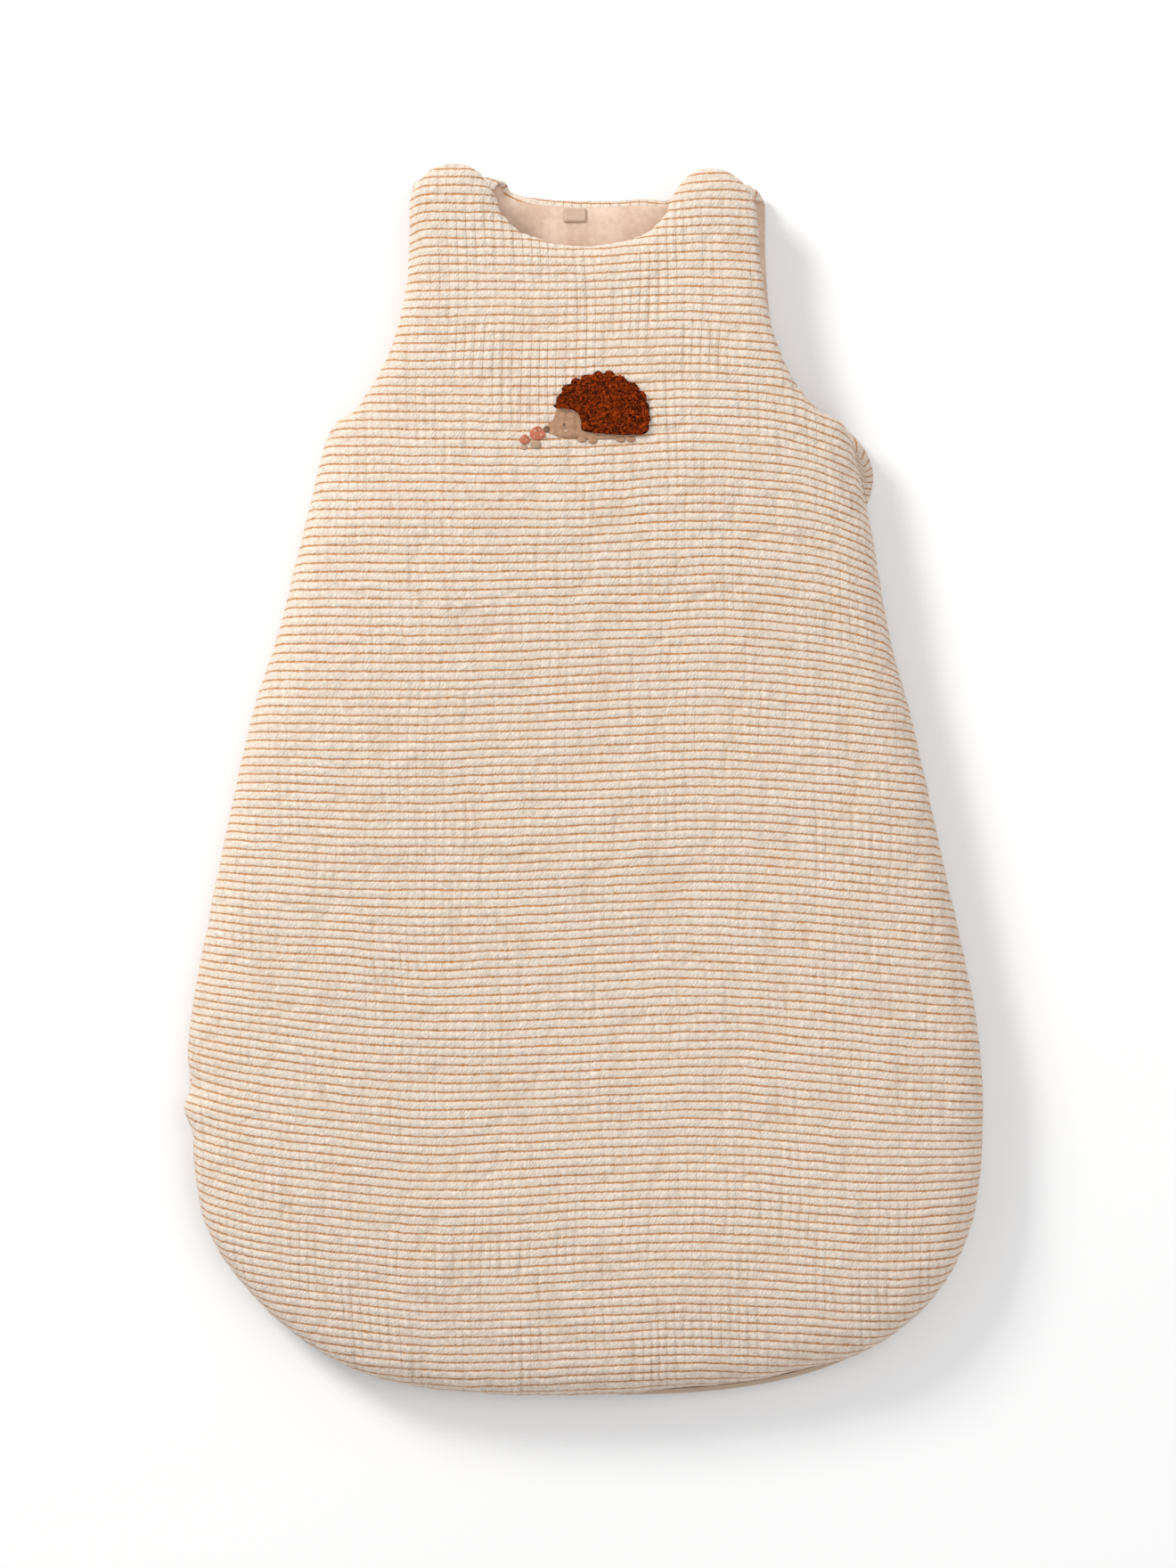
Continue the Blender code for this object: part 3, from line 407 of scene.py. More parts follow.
def along_cloth(x, y):
    """Turns a place into the cloth's own height there."""
    v = np.array(y, float)
    for _ in range(8):
        v = y - rise(x, v)
    return v


def crease_layers(u, v, seed):
    """Short creases across each band, and long ones down the cloth, each 0 to 1."""
    row = np.floor(v / PITCH)
    lean = 0.0006 * value_noise(u / 0.02, v / 0.01, seed)
    short = 1 - np.abs(value_noise((u + lean + row * 0.0007) / 0.0042, row * 0.55, seed + 1))
    long = 1 - np.abs(value_noise((u + lean) / 0.0105, v / 0.030, seed + 2))
    return short.clip(0, 1) ** 3, long.clip(0, 1) ** 6


def pleat_strength(u, v, seed):
    """How marked the fine upright pleats are: most below the neck, then towards the hem."""
    neck = smoothstep(0.16, 0.25, v) * np.exp(-(u / 0.085) ** 4)
    hem = smoothstep(-0.20, -0.29, v)
    patchy = np.clip(0.60 + 0.7 * value_noise(u / 0.012, v / 0.024, seed + 3), 0.08, 1)
    return (0.42 + 0.58 * neck + 0.25 * hem) * patchy


def pleat_run(u, v):
    """The pleats counted across the cloth; they wander sideways a little."""
    sway = 0.0008 * np.sin(v / 0.016) + 0.0006 * np.sin(v / 0.041 + u / 0.025)
    return (u + sway + 0.0016 * value_noise(u / 0.016, v / 0.08, 21)) / PLEAT


def crinkle(u, v, seed):
    """Height of the puffs between the stripes, with creases down the cloth."""
    phase = v / PITCH
    band = np.abs(np.sin(math.pi * phase))
    short, long = crease_layers(u, v, seed)
    pleat = 1 - np.abs(np.sin(math.pi * pleat_run(u, v)))
    fullness = 0.75 + 0.5 * value_noise(u / 0.006, np.floor(phase) * 0.83 + 0.5, seed + 4)
    result = PUFF * (band ** 0.75) * fullness
    result -= CRINKLE * (short * 0.6 + long * 0.85) * (0.45 + 0.55 * band)
    result -= GATHER * pleat ** 1.5 * pleat_strength(u, v, seed)
    result += 0.0004 * value_noise(u / 0.028, v / 0.035, seed + 5)
    return result


# ---- Heights ----
def swell(distance):
    t = np.clip(distance / EDGE_ROUND, 0, 1)
    return np.sqrt(np.maximum(1 - (1 - t) ** 2.3, 0))


def closed_share(xy):
    """1 along the seam on the left side, 0 along the zip and where the edge is free."""
    return smoothstep(-0.189, -0.176, xy[:, 1]) * smoothstep(0.196, 0.176, xy[:, 1]) * (xy[:, 0] < -0.10)


def lipped(plain, edge_z, xy, seam, closed_z, zip_z):
    """The face that looks to the other half, drawn to closed_z by the seam and to zip_z by the zip."""
    turn = np.sqrt(np.maximum(1 - (1 - np.clip(seam / LIP_ROUND, 0, 1)) ** 2, 0))
    shut = closed_share(xy)
    lip = edge_z + (mix(zip_z, closed_z, shut) - edge_z) * turn
    share = smoothstep(mix(0.0115, 0.0075, shut), mix(0.0190, 0.0180, shut), seam)
    return mix(lip, plain, share)


def front_heights(xy, edge, seam):
    full = mix(FRONT_THICK, FRONT_SHOULDER_THICK, smoothstep(0.250, 0.310, xy[:, 1]))
    crown = mix(FRONT_MID_Z, FRONT_SHOULDER_Z, smoothstep(0.150, TAB_SPLIT_Y, xy[:, 1]))
    dome = np.sqrt(1 - (1 - np.minimum(seam / DOME_WIDTH, 1)) ** 2)
    middle = FRONT_SEAM_Z + (crown - FRONT_SEAM_Z) * dome
    low = middle - full / 2 * swell(edge)
    low = lipped(low, middle, xy, seam, *FRONT_LIPS)
    return low, middle + full / 2 * swell(edge)


def back_heights(xy, edge, seam):
    full = mix(BACK_THICK, BACK_THIN, smoothstep(*BACK_THINNING_Y, xy[:, 1]))
    on_tab = smoothstep(BACK_FOLD_Y - 0.008, BACK_FOLD_Y + 0.001, xy[:, 1])
    full = mix(full, BACK_TAB_THICK, on_tab)
    centre = mix(full / 2, BACK_TAB_MID_Z, on_tab)
    middle = mix(mix(BACK_EDGE_MID_Z, BACK_TAB_MID_Z, on_tab), centre, swell(edge))
    low = middle - full / 2 * swell(edge)
    high = middle + full / 2 * swell(edge)
    high = lipped(high, middle, xy, seam, *BACK_LIPS)
    return low, high


def fold_line(x):
    """Where each tab turns over: lower on the right, and rounded off at the strap's two edges."""
    across = np.abs(x - BACK_SHOULDER_SHIFT)
    side = np.clip(np.minimum(across - BACK_NECK_HALF_WIDTH, BACK_STRAP_EDGE_X - across) / FOLD_CORNER, 0, 1)
    corner = 1 - np.sqrt(1 - (1 - side) ** 2)
    drop = mix(LEFT_CORNER_DROP, RIGHT_CORNER_DROP, x > 0) * corner * (across > 0.04)
    return BACK_FOLD_Y - RIGHT_FOLD_DROP * smoothstep(*FOLD_DROP_X, x) - drop


def fold_over(points):
    """Turns the back's shoulder tabs up and forward over the fold."""
    points = points.copy()
    past = points[:, 1] - fold_line(points[:, 0])
    turn = np.clip(past / FOLD_MID_RADIUS, 0, math.pi)
    radius = FOLD_Z - points[:, 2]
    moved = past > 0
    leg = np.maximum(past - math.pi * FOLD_MID_RADIUS, 0)
    y = points[:, 1] - past + radius * np.sin(turn) - leg
    z = FOLD_Z - radius * np.cos(turn)
    points[:, 1] = np.where(moved, y, points[:, 1])
    points[:, 2] = np.where(moved, z, points[:, 2])
    x = points[:, 0]
    centre = np.sign(x) * FOLD_CENTRE_X
    tapers = (x > 0) | (x > centre)
    points[:, 0] = x - (x - centre) * FOLD_TAPER * smoothstep(0.002, 0.014, past) * tapers
    return points


# ---- Meshes ----
def fill_between(coords, edges):
    """Triangles over all the points, with the edges among their sides."""
    _, _, faces, origin, *_ = delaunay_2d_cdt([Vector(p) for p in coords], edges, [], 1, 1e-8)
    place = [source[0] if source else -1 for source in origin]
    return [tuple(place[i] for i in face) for face in faces if all(place[i] >= 0 for i in face)]


def ring_edges(count):
    return [(i, (i + 1) % count) for i in range(count)]


def wall_quads(rows, sides, closed=False):
    """Quads between rows of points that each go once round. When closed, the last row meets the first."""
    i, k = np.arange(rows if closed else rows - 1)[:, None], np.arange(sides)[None, :]
    here, ahead, j = i * sides, (i + 1) % rows * sides, (k + 1) % sides
    return np.stack([here + k, ahead + k, ahead + j, here + j], -1).reshape(-1, 4)


def cloth_lattice(loop, first_ring):
    """Quads in rows along the stripes that fill an outline, and triangles from them out to a first ring
    inside its edge. Gives the lattice's points, their distance from the edge, the quads and the triangles,
    which number the ring's points after the lattice's."""
    low, high = loop.min(0), loop.max(0)
    u = np.arange(math.floor(low[0] / STEP_U) - 1, math.ceil(high[0] / STEP_U) + 2) * STEP_U
    v = np.arange(math.floor((low[1] - 0.03) / STEP_V), math.ceil((high[1] + 0.03) / STEP_V) + 1) * STEP_V
    grid_u, grid_v = np.meshgrid(u, v, indexing="ij")
    grid_y = grid_v + rise(grid_u, grid_v)
    flat = np.stack([grid_u.ravel(), grid_y.ravel()], -1)
    near = (flat[:, 1] > low[1]) & (flat[:, 1] < high[1])
    edge = np.full(len(flat), -1.0)
    edge[near] = line_distance(flat[near], loop, closed=True)
    keep = (edge > RIM_IN + LATTICE_GAP).reshape(grid_u.shape)
    full = keep[:-1, :-1] & keep[1:, :-1] & keep[1:, 1:] & keep[:-1, 1:]
    number = -np.ones(grid_u.shape, int)
    used = np.zeros(grid_u.shape, bool)
    for du, dv in ((0, 0), (1, 0), (1, 1), (0, 1)):
        used[du:used.shape[0] - 1 + du, dv:used.shape[1] - 1 + dv] |= full
    number[used] = np.arange(used.sum())
    i, j = np.nonzero(full)
    quads = np.stack([number[i, j], number[i + 1, j], number[i + 1, j + 1], number[i, j + 1]], -1)
    sides = np.concatenate([quads[:, [a, (a + 1) % 4]] for a in range(4)])
    key = np.sort(sides, 1)
    _, first, uses = np.unique(key, axis=0, return_index=True, return_counts=True)
    border = sides[first[uses == 1]]
    lattice = np.stack([grid_u[used], grid_y[used]], -1)
    on_border = np.unique(border)
    local = {n: k for k, n in enumerate(on_border)}
    coords = np.concatenate([first_ring, lattice[on_border]])
    count = len(first_ring)
    edges = ring_edges(count) + [(count + local[a], count + local[b]) for a, b in border.tolist()]
    filled = np.array(fill_between(coords.tolist(), edges))
    centre = coords[filled].mean(1)
    cell_v = along_cloth(centre[:, 0], centre[:, 1])
    a = np.clip((np.floor((centre[:, 0] - u[0]) / STEP_U)).astype(int), 0, full.shape[0] - 1)
    b = np.clip((np.floor((cell_v - v[0]) / STEP_V)).astype(int), 0, full.shape[1] - 1)
    filled = filled[~((filled.min(1) >= count) & full[a, b])]
    place = np.concatenate([len(lattice) + np.arange(count), on_border])
    triangles = place[filled].tolist()
    return lattice, edge.reshape(grid_u.shape)[used], quads, triangles


def face_up(faces, xy):
    """Turns faces so that they look up, in plan."""
    result = []
    for face in faces:
        p = xy[list(face)[:3]]
        cross = (p[1, 0] - p[0, 0]) * (p[2, 1] - p[0, 1]) - (p[1, 1] - p[0, 1]) * (p[2, 0] - p[0, 0])
        result.append(tuple(face) if cross > 0 else tuple(face)[::-1])
    return result


def coarse_fill(ring, spacing):
    """A grid that fills a ring: its points after the ring's own, and the faces that look up."""
    low, high = ring.min(0), ring.max(0)
    xs = np.arange(low[0] + spacing / 3, high[0], spacing)
    ys = np.arange(low[1] + spacing / 3, high[1], spacing)
    grid = np.stack(np.meshgrid(xs, ys, indexing="ij"), -1).reshape(-1, 2)
    grid = grid[line_distance(grid, ring, closed=True) > spacing * 0.45]
    coords = np.concatenate([ring, grid])
    return coords, face_up(fill_between(coords.tolist(), ring_edges(len(ring))), coords)


def make_mesh(name, points, faces, smooth=True, cloth=None):
    mesh = bpy.data.meshes.new(name)
    mesh.from_pydata(np.asarray(points).tolist(), [], [tuple(map(int, f)) for f in faces])
    mesh.validate()
    if smooth:
        mesh.shade_smooth()
    if cloth is not None:
        store = mesh.attributes.new("cloth", "FLOAT_VECTOR", "POINT")
        store.data.foreach_set("vector", np.asarray(cloth * MM, np.float32).ravel())
    piece = bpy.data.objects.new(name, mesh)
    bpy.context.scene.collection.objects.link(piece)
    return piece


def mark(piece, name, values):
    """Stores one number at each point of a piece, for its material."""
    store = piece.data.attributes.new(name, "FLOAT", "POINT")
    store.data.foreach_set("value", np.asarray(values, np.float32))


def vertex_normals(mesh):
    normals = np.empty(len(mesh.vertices) * 3, np.float32)
    mesh.vertex_normals.foreach_get("vector", normals)
    return normals.reshape(-1, 3)


def make_quilt(loop, heights, outer_up):
    """A closed quilt. Its outer fabric looks up on the front half and down on the back."""
    normals, seam_line = inward_normals(loop), seam_of(loop)
    rings = [loop + normals * inset for inset in RINGS]
    count, outer = len(loop), int(outer_up)
    lattice, lattice_edge, quads, triangles = cloth_lattice(loop, rings[0])

    def raised(places, edge, side):
        return np.column_stack([places, heights(places, edge, line_distance(places, seam_line))[side]])

    def on_cloth(places, edge):
        return np.column_stack([places[:, 0], along_cloth(places[:, 0], places[:, 1]), edge])

    points, cloth = [raised(lattice, lattice_edge, outer)], [on_cloth(lattice, lattice_edge)]
    faces = face_up(triangles, np.concatenate([lattice, rings[0]])) + quads.tolist()
    reach = np.zeros(count)
    order = list(range(len(RINGS)))
    for index, side in [(i, outer) for i in order] + [(i, 1 - outer) for i in order[::-1]]:
        inset = np.full(count, RINGS[index])
        here = raised(rings[index], inset, side)
        if len(points) > 1:
            reach = reach + np.linalg.norm(here - points[-1], axis=1)
        points.append(here)
        cloth.append(on_cloth(rings[0] - normals * reach[:, None], inset if side == outer else -inset))
    faces += (len(lattice) + wall_quads(2 * len(RINGS), count)).tolist()
    last_ring = len(lattice) + (2 * len(RINGS) - 1) * count
    inner, inner_faces = coarse_fill(rings[0], INNER_FACE_GRID)
    grid = inner[count:]
    points.append(raised(grid, line_distance(grid, loop, closed=True), 1 - outer))
    cloth.append(np.column_stack([grid, np.full(len(grid), -0.02)]))
    faces += [tuple(last_ring + k for k in face[::-1]) for face in inner_faces]
    if not outer_up:
        faces = [tuple(face)[::-1] for face in faces]
    return np.concatenate(points), np.concatenate(cloth), faces


def crinkled(points, cloth, faces, seed, keep_below=None):
    """Raises the outer fabric's puffs and creases along its normals."""
    trial = make_mesh("trial", points, faces)
    normals = vertex_normals(trial.data)
    bpy.data.objects.remove(trial, do_unlink=True)
    share = smoothstep(-0.004, -0.0005, cloth[:, 2])
    height = crinkle(cloth[:, 0], cloth[:, 1], seed)
    if keep_below is not None:
        height = np.minimum(height - keep_below, 0)
    soft = smoothstep(0.0, 0.006, np.abs(cloth[:, 2])) * 0.35 + 0.65
    return points + normals * (height * share * soft)[:, None]


def height_over(tree, places):
    """The height of a surface at each place, seen from above."""
    down = Vector((0, 0, -1))
    return np.array([tree.ray_cast(Vector((x, y, 1)), down)[0].z for x, y in places.tolist()])


def turned(points, a, b, angle):
    """Points turned from axis a towards axis b."""
    cos, sin = math.cos(angle), math.sin(angle)
    result = points.copy()
    result[:, a] = points[:, a] * cos - points[:, b] * sin
    result[:, b] = points[:, a] * sin + points[:, b] * cos
    return result


def tree_of(points, faces):
    return BVHTree.FromPolygons([tuple(p) for p in points], [tuple(f) for f in faces])


# ---- Materials ----
def linear(red, green, blue):
    channels = []
    for value in (red / 255, green / 255, blue / 255):
        channels.append(value / 12.92 if value <= 0.04045 else ((value + 0.055) / 1.055) ** 2.4)
    return (*channels, 1)


class Signal:
    """A number or vector inside a material; arithmetic on it makes Math nodes."""

    def __init__(self, tree, socket):
        self.tree, self.socket = tree, socket

    def __add__(self, other):
        return self.tree.math("ADD", self, other)

    def __sub__(self, other):
        return self.tree.math("SUBTRACT", self, other)

    def __rsub__(self, other):
        return self.tree.math("SUBTRACT", other, self)

    def __mul__(self, other):
        return self.tree.math("MULTIPLY", self, other)

    def __truediv__(self, other):
        return self.tree.math("DIVIDE", self, other)

    def __abs__(self):
        return self.tree.math("ABSOLUTE", self)

    def sine(self):
        return self.tree.math("SINE", self)


class Tree:
    """A material's nodes, made one call at a time."""

    def __init__(self, name):
        self.material = bpy.data.materials.new(name)
        self.material.use_nodes = True
        self.nodes, self.links = self.material.node_tree.nodes, self.material.node_tree.links
        self.shader = self.nodes["Principled BSDF"]

    def put(self, socket, value):
        if isinstance(value, Signal):
            self.links.new(value.socket, socket)
        else:
            socket.default_value = value

    def add(self, kind, inputs=(), output=0, **settings):
        node = self.nodes.new("ShaderNode" + kind)
        for name, value in settings.items():
            setattr(node, name, value)
        for name, value in dict(inputs).items():
            self.put(node.inputs[name], value)
        return Signal(self, node.outputs[output])

    def math(self, operation, *values):
        return self.add("Math", enumerate(values), operation=operation)

    def span(self, value, low, high, to_low=0.0, to_high=1.0):
        inputs = {"Value": value, "From Min": low, "From Max": high, "To Min": to_low, "To Max": to_high}
        return self.add("MapRange", inputs, interpolation_type="SMOOTHSTEP")

    def noise(self, x, y, z=0.0, detail=2.0):
        place = self.add("CombineXYZ", {"X": x, "Y": y, "Z": z})
        return self.add("TexNoise", {"Vector": place, "Scale": 1.0, "Detail": detail})

    def mix(self, share, *colours):
        """From one colour to another, each a socket or three numbers up to 255."""
        a, b = (linear(*colour) if isinstance(colour, tuple) else colour for colour in colours)
        return self.add("Mix", {0: share, 6: a, 7: b}, output=2, data_type="RGBA")

    def stored(self, name):
        return self.add("Attribute", output="Fac", attribute_name=name)

    def parts(self, vector):
        return [self.add("SeparateXYZ", {"Vector": vector}, output=i) for i in range(3)]

    def cloth(self):
        """Across, along and in from the edge, in millimetres."""
        return self.parts(self.add("Attribute", output="Vector", attribute_name="cloth"))

    def place(self, scale=MM):
        """The object's own place, in millimetres."""
        return [part * scale for part in self.parts(self.add("TexCoord", output="Object"))]

    def bump(self, height, strength, distance):
        normal = self.add("Bump", {"Height": height, "Strength": strength, "Distance": distance})
        self.put(self.shader.inputs["Normal"], normal)

    def finish(self, colour, roughness, **constants):
        self.put(self.shader.inputs["Base Color"], colour)
        self.put(self.shader.inputs["Roughness"], roughness)
        for name, value in constants.items():
            self.shader.inputs[name.replace("_", " ")].default_value = value
        return self.material


def striped_gauze():
    """Crinkled double gauze: thin terracotta stripes on cream, with slanting wrinkles in each band. Shade is
    painted between the wrinkles, in the creases and in the pleats' folds, and a highlight is painted on the
    pleats' crests.
    """
    t = Tree("striped_gauze_look")
    u, v, _ = t.cloth()
    pitch = PITCH * MM
    shake = t.noise(u / 4.0, v / 3.0, 3.0) - 0.5
    ragged = t.noise(u / 1.5, v / 1.6, 8.0) - 0.5
    turn = t.math("FRACT", (v + (shake * 0.8 + ragged * 0.9)) / pitch + 0.5)
    off = abs(turn - 0.5) * pitch
    thread = t.noise(u / 1.3, v / 2.5, 7.0)
    width = t.span(thread, 0.3, 0.7, 0.62, 0.88)
    stripe = (1.0 - t.span(off, width * 0.45, width)) * t.span(thread, 0.2, 0.8, 0.72, 1.0)

    along, across = u * SLANT_COS + v * SLANT_SIN, v * SLANT_COS - u * SLANT_SIN
    fine = t.span(t.noise(along / 2.6, across / 0.75, 5.0, 1.0), 0.36, 0.62)
    broad = t.span(t.noise(along / 3.6, across / 1.1, 9.0, 1.0), 0.36, 0.64)
    stroke = fine * 0.62 + broad * 0.38
    pleat = abs((t.stored("pleat_run") * math.pi).sine())
    strength = t.stored("pleat")
    # Masks of the pleats' folds and crests, for painted shade and painted highlight; the folds also sink the
    # bump
    fold = t.span(pleat, 0.0, 0.26, 1.0, 0.0) * strength
    crest_highlight = t.span(pleat, 0.86, 1.0) * strength

    cream = t.mix(t.noise(u / 24.0, v / 30.0, 1.0), CREAM, WARM_CREAM)
    # Painted shade: the cream darkens where the slanting wrinkle strokes are low
    cream = t.mix((1.0 - stroke) * 0.62, cream, CREAM_SHADE)
    # Painted shade in the creases, as strong as the stored crease share
    cream = t.mix(t.stored("painted_crease_shade") * 0.28, cream, CREASE_SHADE)
    # Painted shade in the pleats' folds, then a painted highlight on their crests
    cream = t.mix(fold * 0.50, cream, CREASE_SHADE)
    cream = t.mix(crest_highlight * 0.30, cream, CREST_HIGHLIGHT)
    # Painted shade: the stripes darken the same way where the fine wrinkle strokes are low
    rust = t.mix((1.0 - fine) * 0.55, STRIPE, STRIPE_SHADE)
    weave = (u * 12.0).sine() * (v * 12.0).sine()
    t.bump(stroke + weave * 0.10 - stripe * 0.5 - fold * 1.2, 0.6, 0.0005)
    return t.finish(t.mix(stripe, cream, rust), t.span(stripe, 0.0, 1.0, 0.93, 0.85),
                    Sheen_Weight=0.12, Sheen_Roughness=0.6, Specular_IOR_Level=0.2)


def jersey():
    t = Tree("lining_jersey_look")
    x, y, _ = t.place()
    cloud = t.noise(x / 22.0, y / 40.0, 2.0, 4.0)
    grain = t.noise(x / 0.9, y / 1.3, 4.0, 3.0)
    fuzz = t.noise(x / 3.2, y / 4.4, 6.0, 4.0)
    colour = t.mix(t.span(cloud * 0.6 + fuzz * 0.4, 0.36, 0.62), (232, 207, 188), (212, 182, 160))
    colour = t.mix(grain * 0.35, colour, (200, 168, 145))
    wale = abs((x * 2.9).sine())
    course = abs((y * 3.6 + wale * 0.9).sine())
    t.bump(wale * 0.5 + course * 0.4 + grain * 0.9, 0.35, 0.0003)
    return t.finish(colour, 0.95, Sheen_Weight=0.2, Sheen_Roughness=0.5, Specular_IOR_Level=0.2)


def woven(name, light, dark, pitch=1.1):
    """Woven tape: ribs across it, a herringbone grain, and a painted shadow line where the piece's stored
    seam share marks one.
    """
    t = Tree(name)
    x, y, z = t.place()
    rib = abs(((x + y) * (math.pi / pitch)).sine())
    twill = abs(((x + z - y) * 4.4).sine())
    grain = t.noise(x / 3.0, y / 3.0, z / 3.0)
    colour = t.mix(rib, dark, light)
    colour = t.mix(grain * 0.3, colour, dark)
    # Painted shadow: a dark line where the stored seam share is high, under the front's overhanging edge
    colour = t.mix(t.span(t.stored("seam"), 0.2, 0.9), colour, (96, 66, 46))
    t.bump(rib + twill * 0.4, 0.5, 0.0003)
    return t.finish(colour, 0.85, Sheen_Weight=0.1, Specular_IOR_Level=0.25)


def moulded(name, colour, roughness, metallic=0.0):
    """Plastic or plated metal with faint marks of wear."""
    t = Tree(name)
    x, y, z = t.place()
    wear = t.noise(x / 6.0, y / 0.7, z / 2.0, 4.0)
    tone = t.mix(wear, colour, tuple(c * 0.86 for c in colour))
    t.bump(wear, 0.12, 0.0002)
    return t.finish(tone, t.span(wear, 0.3, 0.7, roughness * 0.8, roughness * 1.2), Metallic=metallic)


def boucle():
    t = Tree("boucle_look")
    x, y, z = t.place()
    tuft = t.noise(x / 1.6, y / 1.6, z / 1.6, 3.0)
    hair = t.noise(x / 0.35, y / 0.35, z / 0.35, 3.0)
    # The darkest colour, which the coat's ground takes for want of a stored tone, is painted shade between
    # the loops
    colour = t.mix(t.stored("tone") * t.span(tuft, 0.1, 0.6, 0.85, 1.0), (34, 4, 0), (198, 80, 20))
    colour = t.mix(hair * 0.4, colour, (60, 16, 4))
    t.bump(hair, 0.6, 0.0003)
    return t.finish(colour, 0.95, Sheen_Weight=0.02, Specular_IOR_Level=0.05)


def print_on(name, colour, shade):
    """Printed ink on the gauze: the weave showing through and a cloudy, uneven tone of pigment."""
    t = Tree(name)
    x, y, _ = t.place()
    cloud = t.noise(x / 2.2, y / 2.2, 1.0, 4.0)
    grain = t.noise(x / 0.5, y / 0.4, 2.0, 2.0)
    tone = t.mix(t.span(cloud, 0.3, 0.7), colour, shade)
    tone = t.mix(grain * 0.3, tone, (222, 190, 165))
    t.bump(grain, 0.4, 0.0003)
    return t.finish(tone, 0.9, Specular_IOR_Level=0.2)


SLANT = math.radians(57)
SLANT_COS, SLANT_SIN = math.cos(SLANT), math.sin(SLANT)
# CREAM_SHADE is the painted shade between the slanting wrinkles
CREAM, WARM_CREAM, CREAM_SHADE = (243, 230, 217), (237, 220, 203), (196, 176, 158)
# Painted shade for the creases and the pleats' folds, and a painted highlight for the pleats' crests
CREASE_SHADE, CREST_HIGHLIGHT = (162, 134, 110), (250, 240, 228)
# STRIPE_SHADE is the painted shade on the stripes between the slanting wrinkles
STRIPE, STRIPE_SHADE = (197, 135, 75), (162, 104, 52)
GAUZE = striped_gauze()
JERSEY = jersey()
TAPE = woven("zip_tape_look", (214, 190, 166), (176, 148, 124))
LABEL = woven("woven_label_look", (216, 189, 168), (200, 171, 149), 0.8)
COIL = moulded("zip_coil_look", (214, 190, 166), 0.42)
METAL = moulded("zip_metal_look", (196, 178, 150), 0.30, 1.0)
SNAP = moulded("snap_plastic_look", (232, 218, 200), 0.38)
BOUCLE = boucle()

# ---- The two quilts ----
def line_beside_seam(piece, edge):
    """Shows the lining's jersey on the inner face beside the closed seam, where the opened halves meet."""
    piece.data.materials.append(JERSEY)
    places = np.array([v.co[:2] for v in piece.data.vertices])
    inner = (edge < -0.0010) & (closed_share(places) > 0.3)
    for face in piece.data.polygons:
        if inner[list(face.vertices)].all():
            face.material_index = 1


def dress(piece, cloth, seed):
    """The gauze, and what its material reads: the creases' painted shade, and the pleats' place and strength.
    """
    u, v, edge = cloth.T
    short, long = crease_layers(u, v, seed)
    # How deep each point lies in the creases, for the painted shade there
    mark(piece, "painted_crease_shade", np.clip(short ** 2.5 * 0.4 + long ** 2 * 0.6, 0, 1))
    mark(piece, "pleat", pleat_strength(u, v, seed))
    mark(piece, "pleat_run", pleat_run(u, v))
    piece.data.materials.append(GAUZE)
    line_beside_seam(piece, edge)
    return piece


def shares_of_front(points, faces):
    """The front's body and its left and right shoulder tab: the points that each uses, and its faces."""
    shares = {"body": [], "left": [], "right": []}
    for face in faces:
        x, y = points[list(face), :2].mean(0)
        shares["body" if y <= TAB_SPLIT_Y else "right" if x > 0 else "left"].append(face)
    result = []
    for chosen in shares.values():
        used = sorted({k for face in chosen for k in face})
        new = {k: i for i, k in enumerate(used)}
        result.append((used, [tuple(new[k] for k in face) for face in chosen]))
    return result


front_loop, back_loop = front_outline(), back_outline()
front_points, front_cloth, front_faces = make_quilt(front_loop, front_heights, True)
front_points = crinkled(front_points, front_cloth, front_faces, FRONT_SEED)
front_whole = make_mesh("front_whole", front_points, front_faces)
front_normals = vertex_normals(front_whole.data)
bpy.data.objects.remove(front_whole, do_unlink=True)
front_tree = tree_of(front_points, front_faces)


def front_piece(name, used, faces):
    """A share of the front as a piece, shaded as one surface with the rest."""
    piece = make_mesh(name, front_points[used], faces, cloth=front_cloth[used])
    piece.data.normals_split_custom_set_from_vertices(front_normals[used].tolist())
    return dress(piece, front_cloth[used], FRONT_SEED)


front_names = ("front_quilt", "shoulder_tab_left", "shoulder_tab_right")
front_shares = shares_of_front(front_points, front_faces)
front_quilt, tab_left, tab_right = (
    front_piece(name, *share) for name, share in zip(front_names, front_shares))

back_points, back_cloth, back_faces = make_quilt(back_loop, back_heights, False)
back_points = crinkled(back_points, back_cloth, back_faces, BACK_SEED, keep_below=PUFF * 1.2)
back_points = fold_over(back_points)
back_points[:, 2] = np.maximum(back_points[:, 2], 0)
back_quilt = dress(make_mesh("back_quilt", back_points, back_faces, cloth=back_cloth), back_cloth, BACK_SEED)


# ---- Linings ----
def lining_rim(points):
    """How far inside the outline the lining's edge lies."""
    rim = mix(SEAM_RIM, LINING_FREE_RIM, smoothstep(*RIM_CHANGE_Y, points[:, 1]))
    neck = smoothstep(0.060, 0.046, np.abs(points[:, 0])) * smoothstep(0.28, 0.30, points[:, 1])
    rim = mix(rim, LINING_NECK_RIM, neck)
    strap = smoothstep(0.088, 0.094, points[:, 0]) * smoothstep(0.24, 0.28, points[:, 1])
    return mix(rim, LINING_STRAP_RIM, strap)


def thin_shell(name, points, faces, thickness, look):
    """A closed sheet, given by its upper face."""
    total = len(points)
    directed = {(face[i - 1], face[i]) for face in faces for i in range(len(face))}
    rim = [(b, a, a + total, b + total) for a, b in sorted(directed) if (b, a) not in directed]
    under = [tuple(total + k for k in face[::-1]) for face in faces]
    piece = make_mesh(name, np.concatenate([points, points - (0, 0, thickness)]), list(faces) + under + rim)
    piece.data.materials.append(look)
    return piece


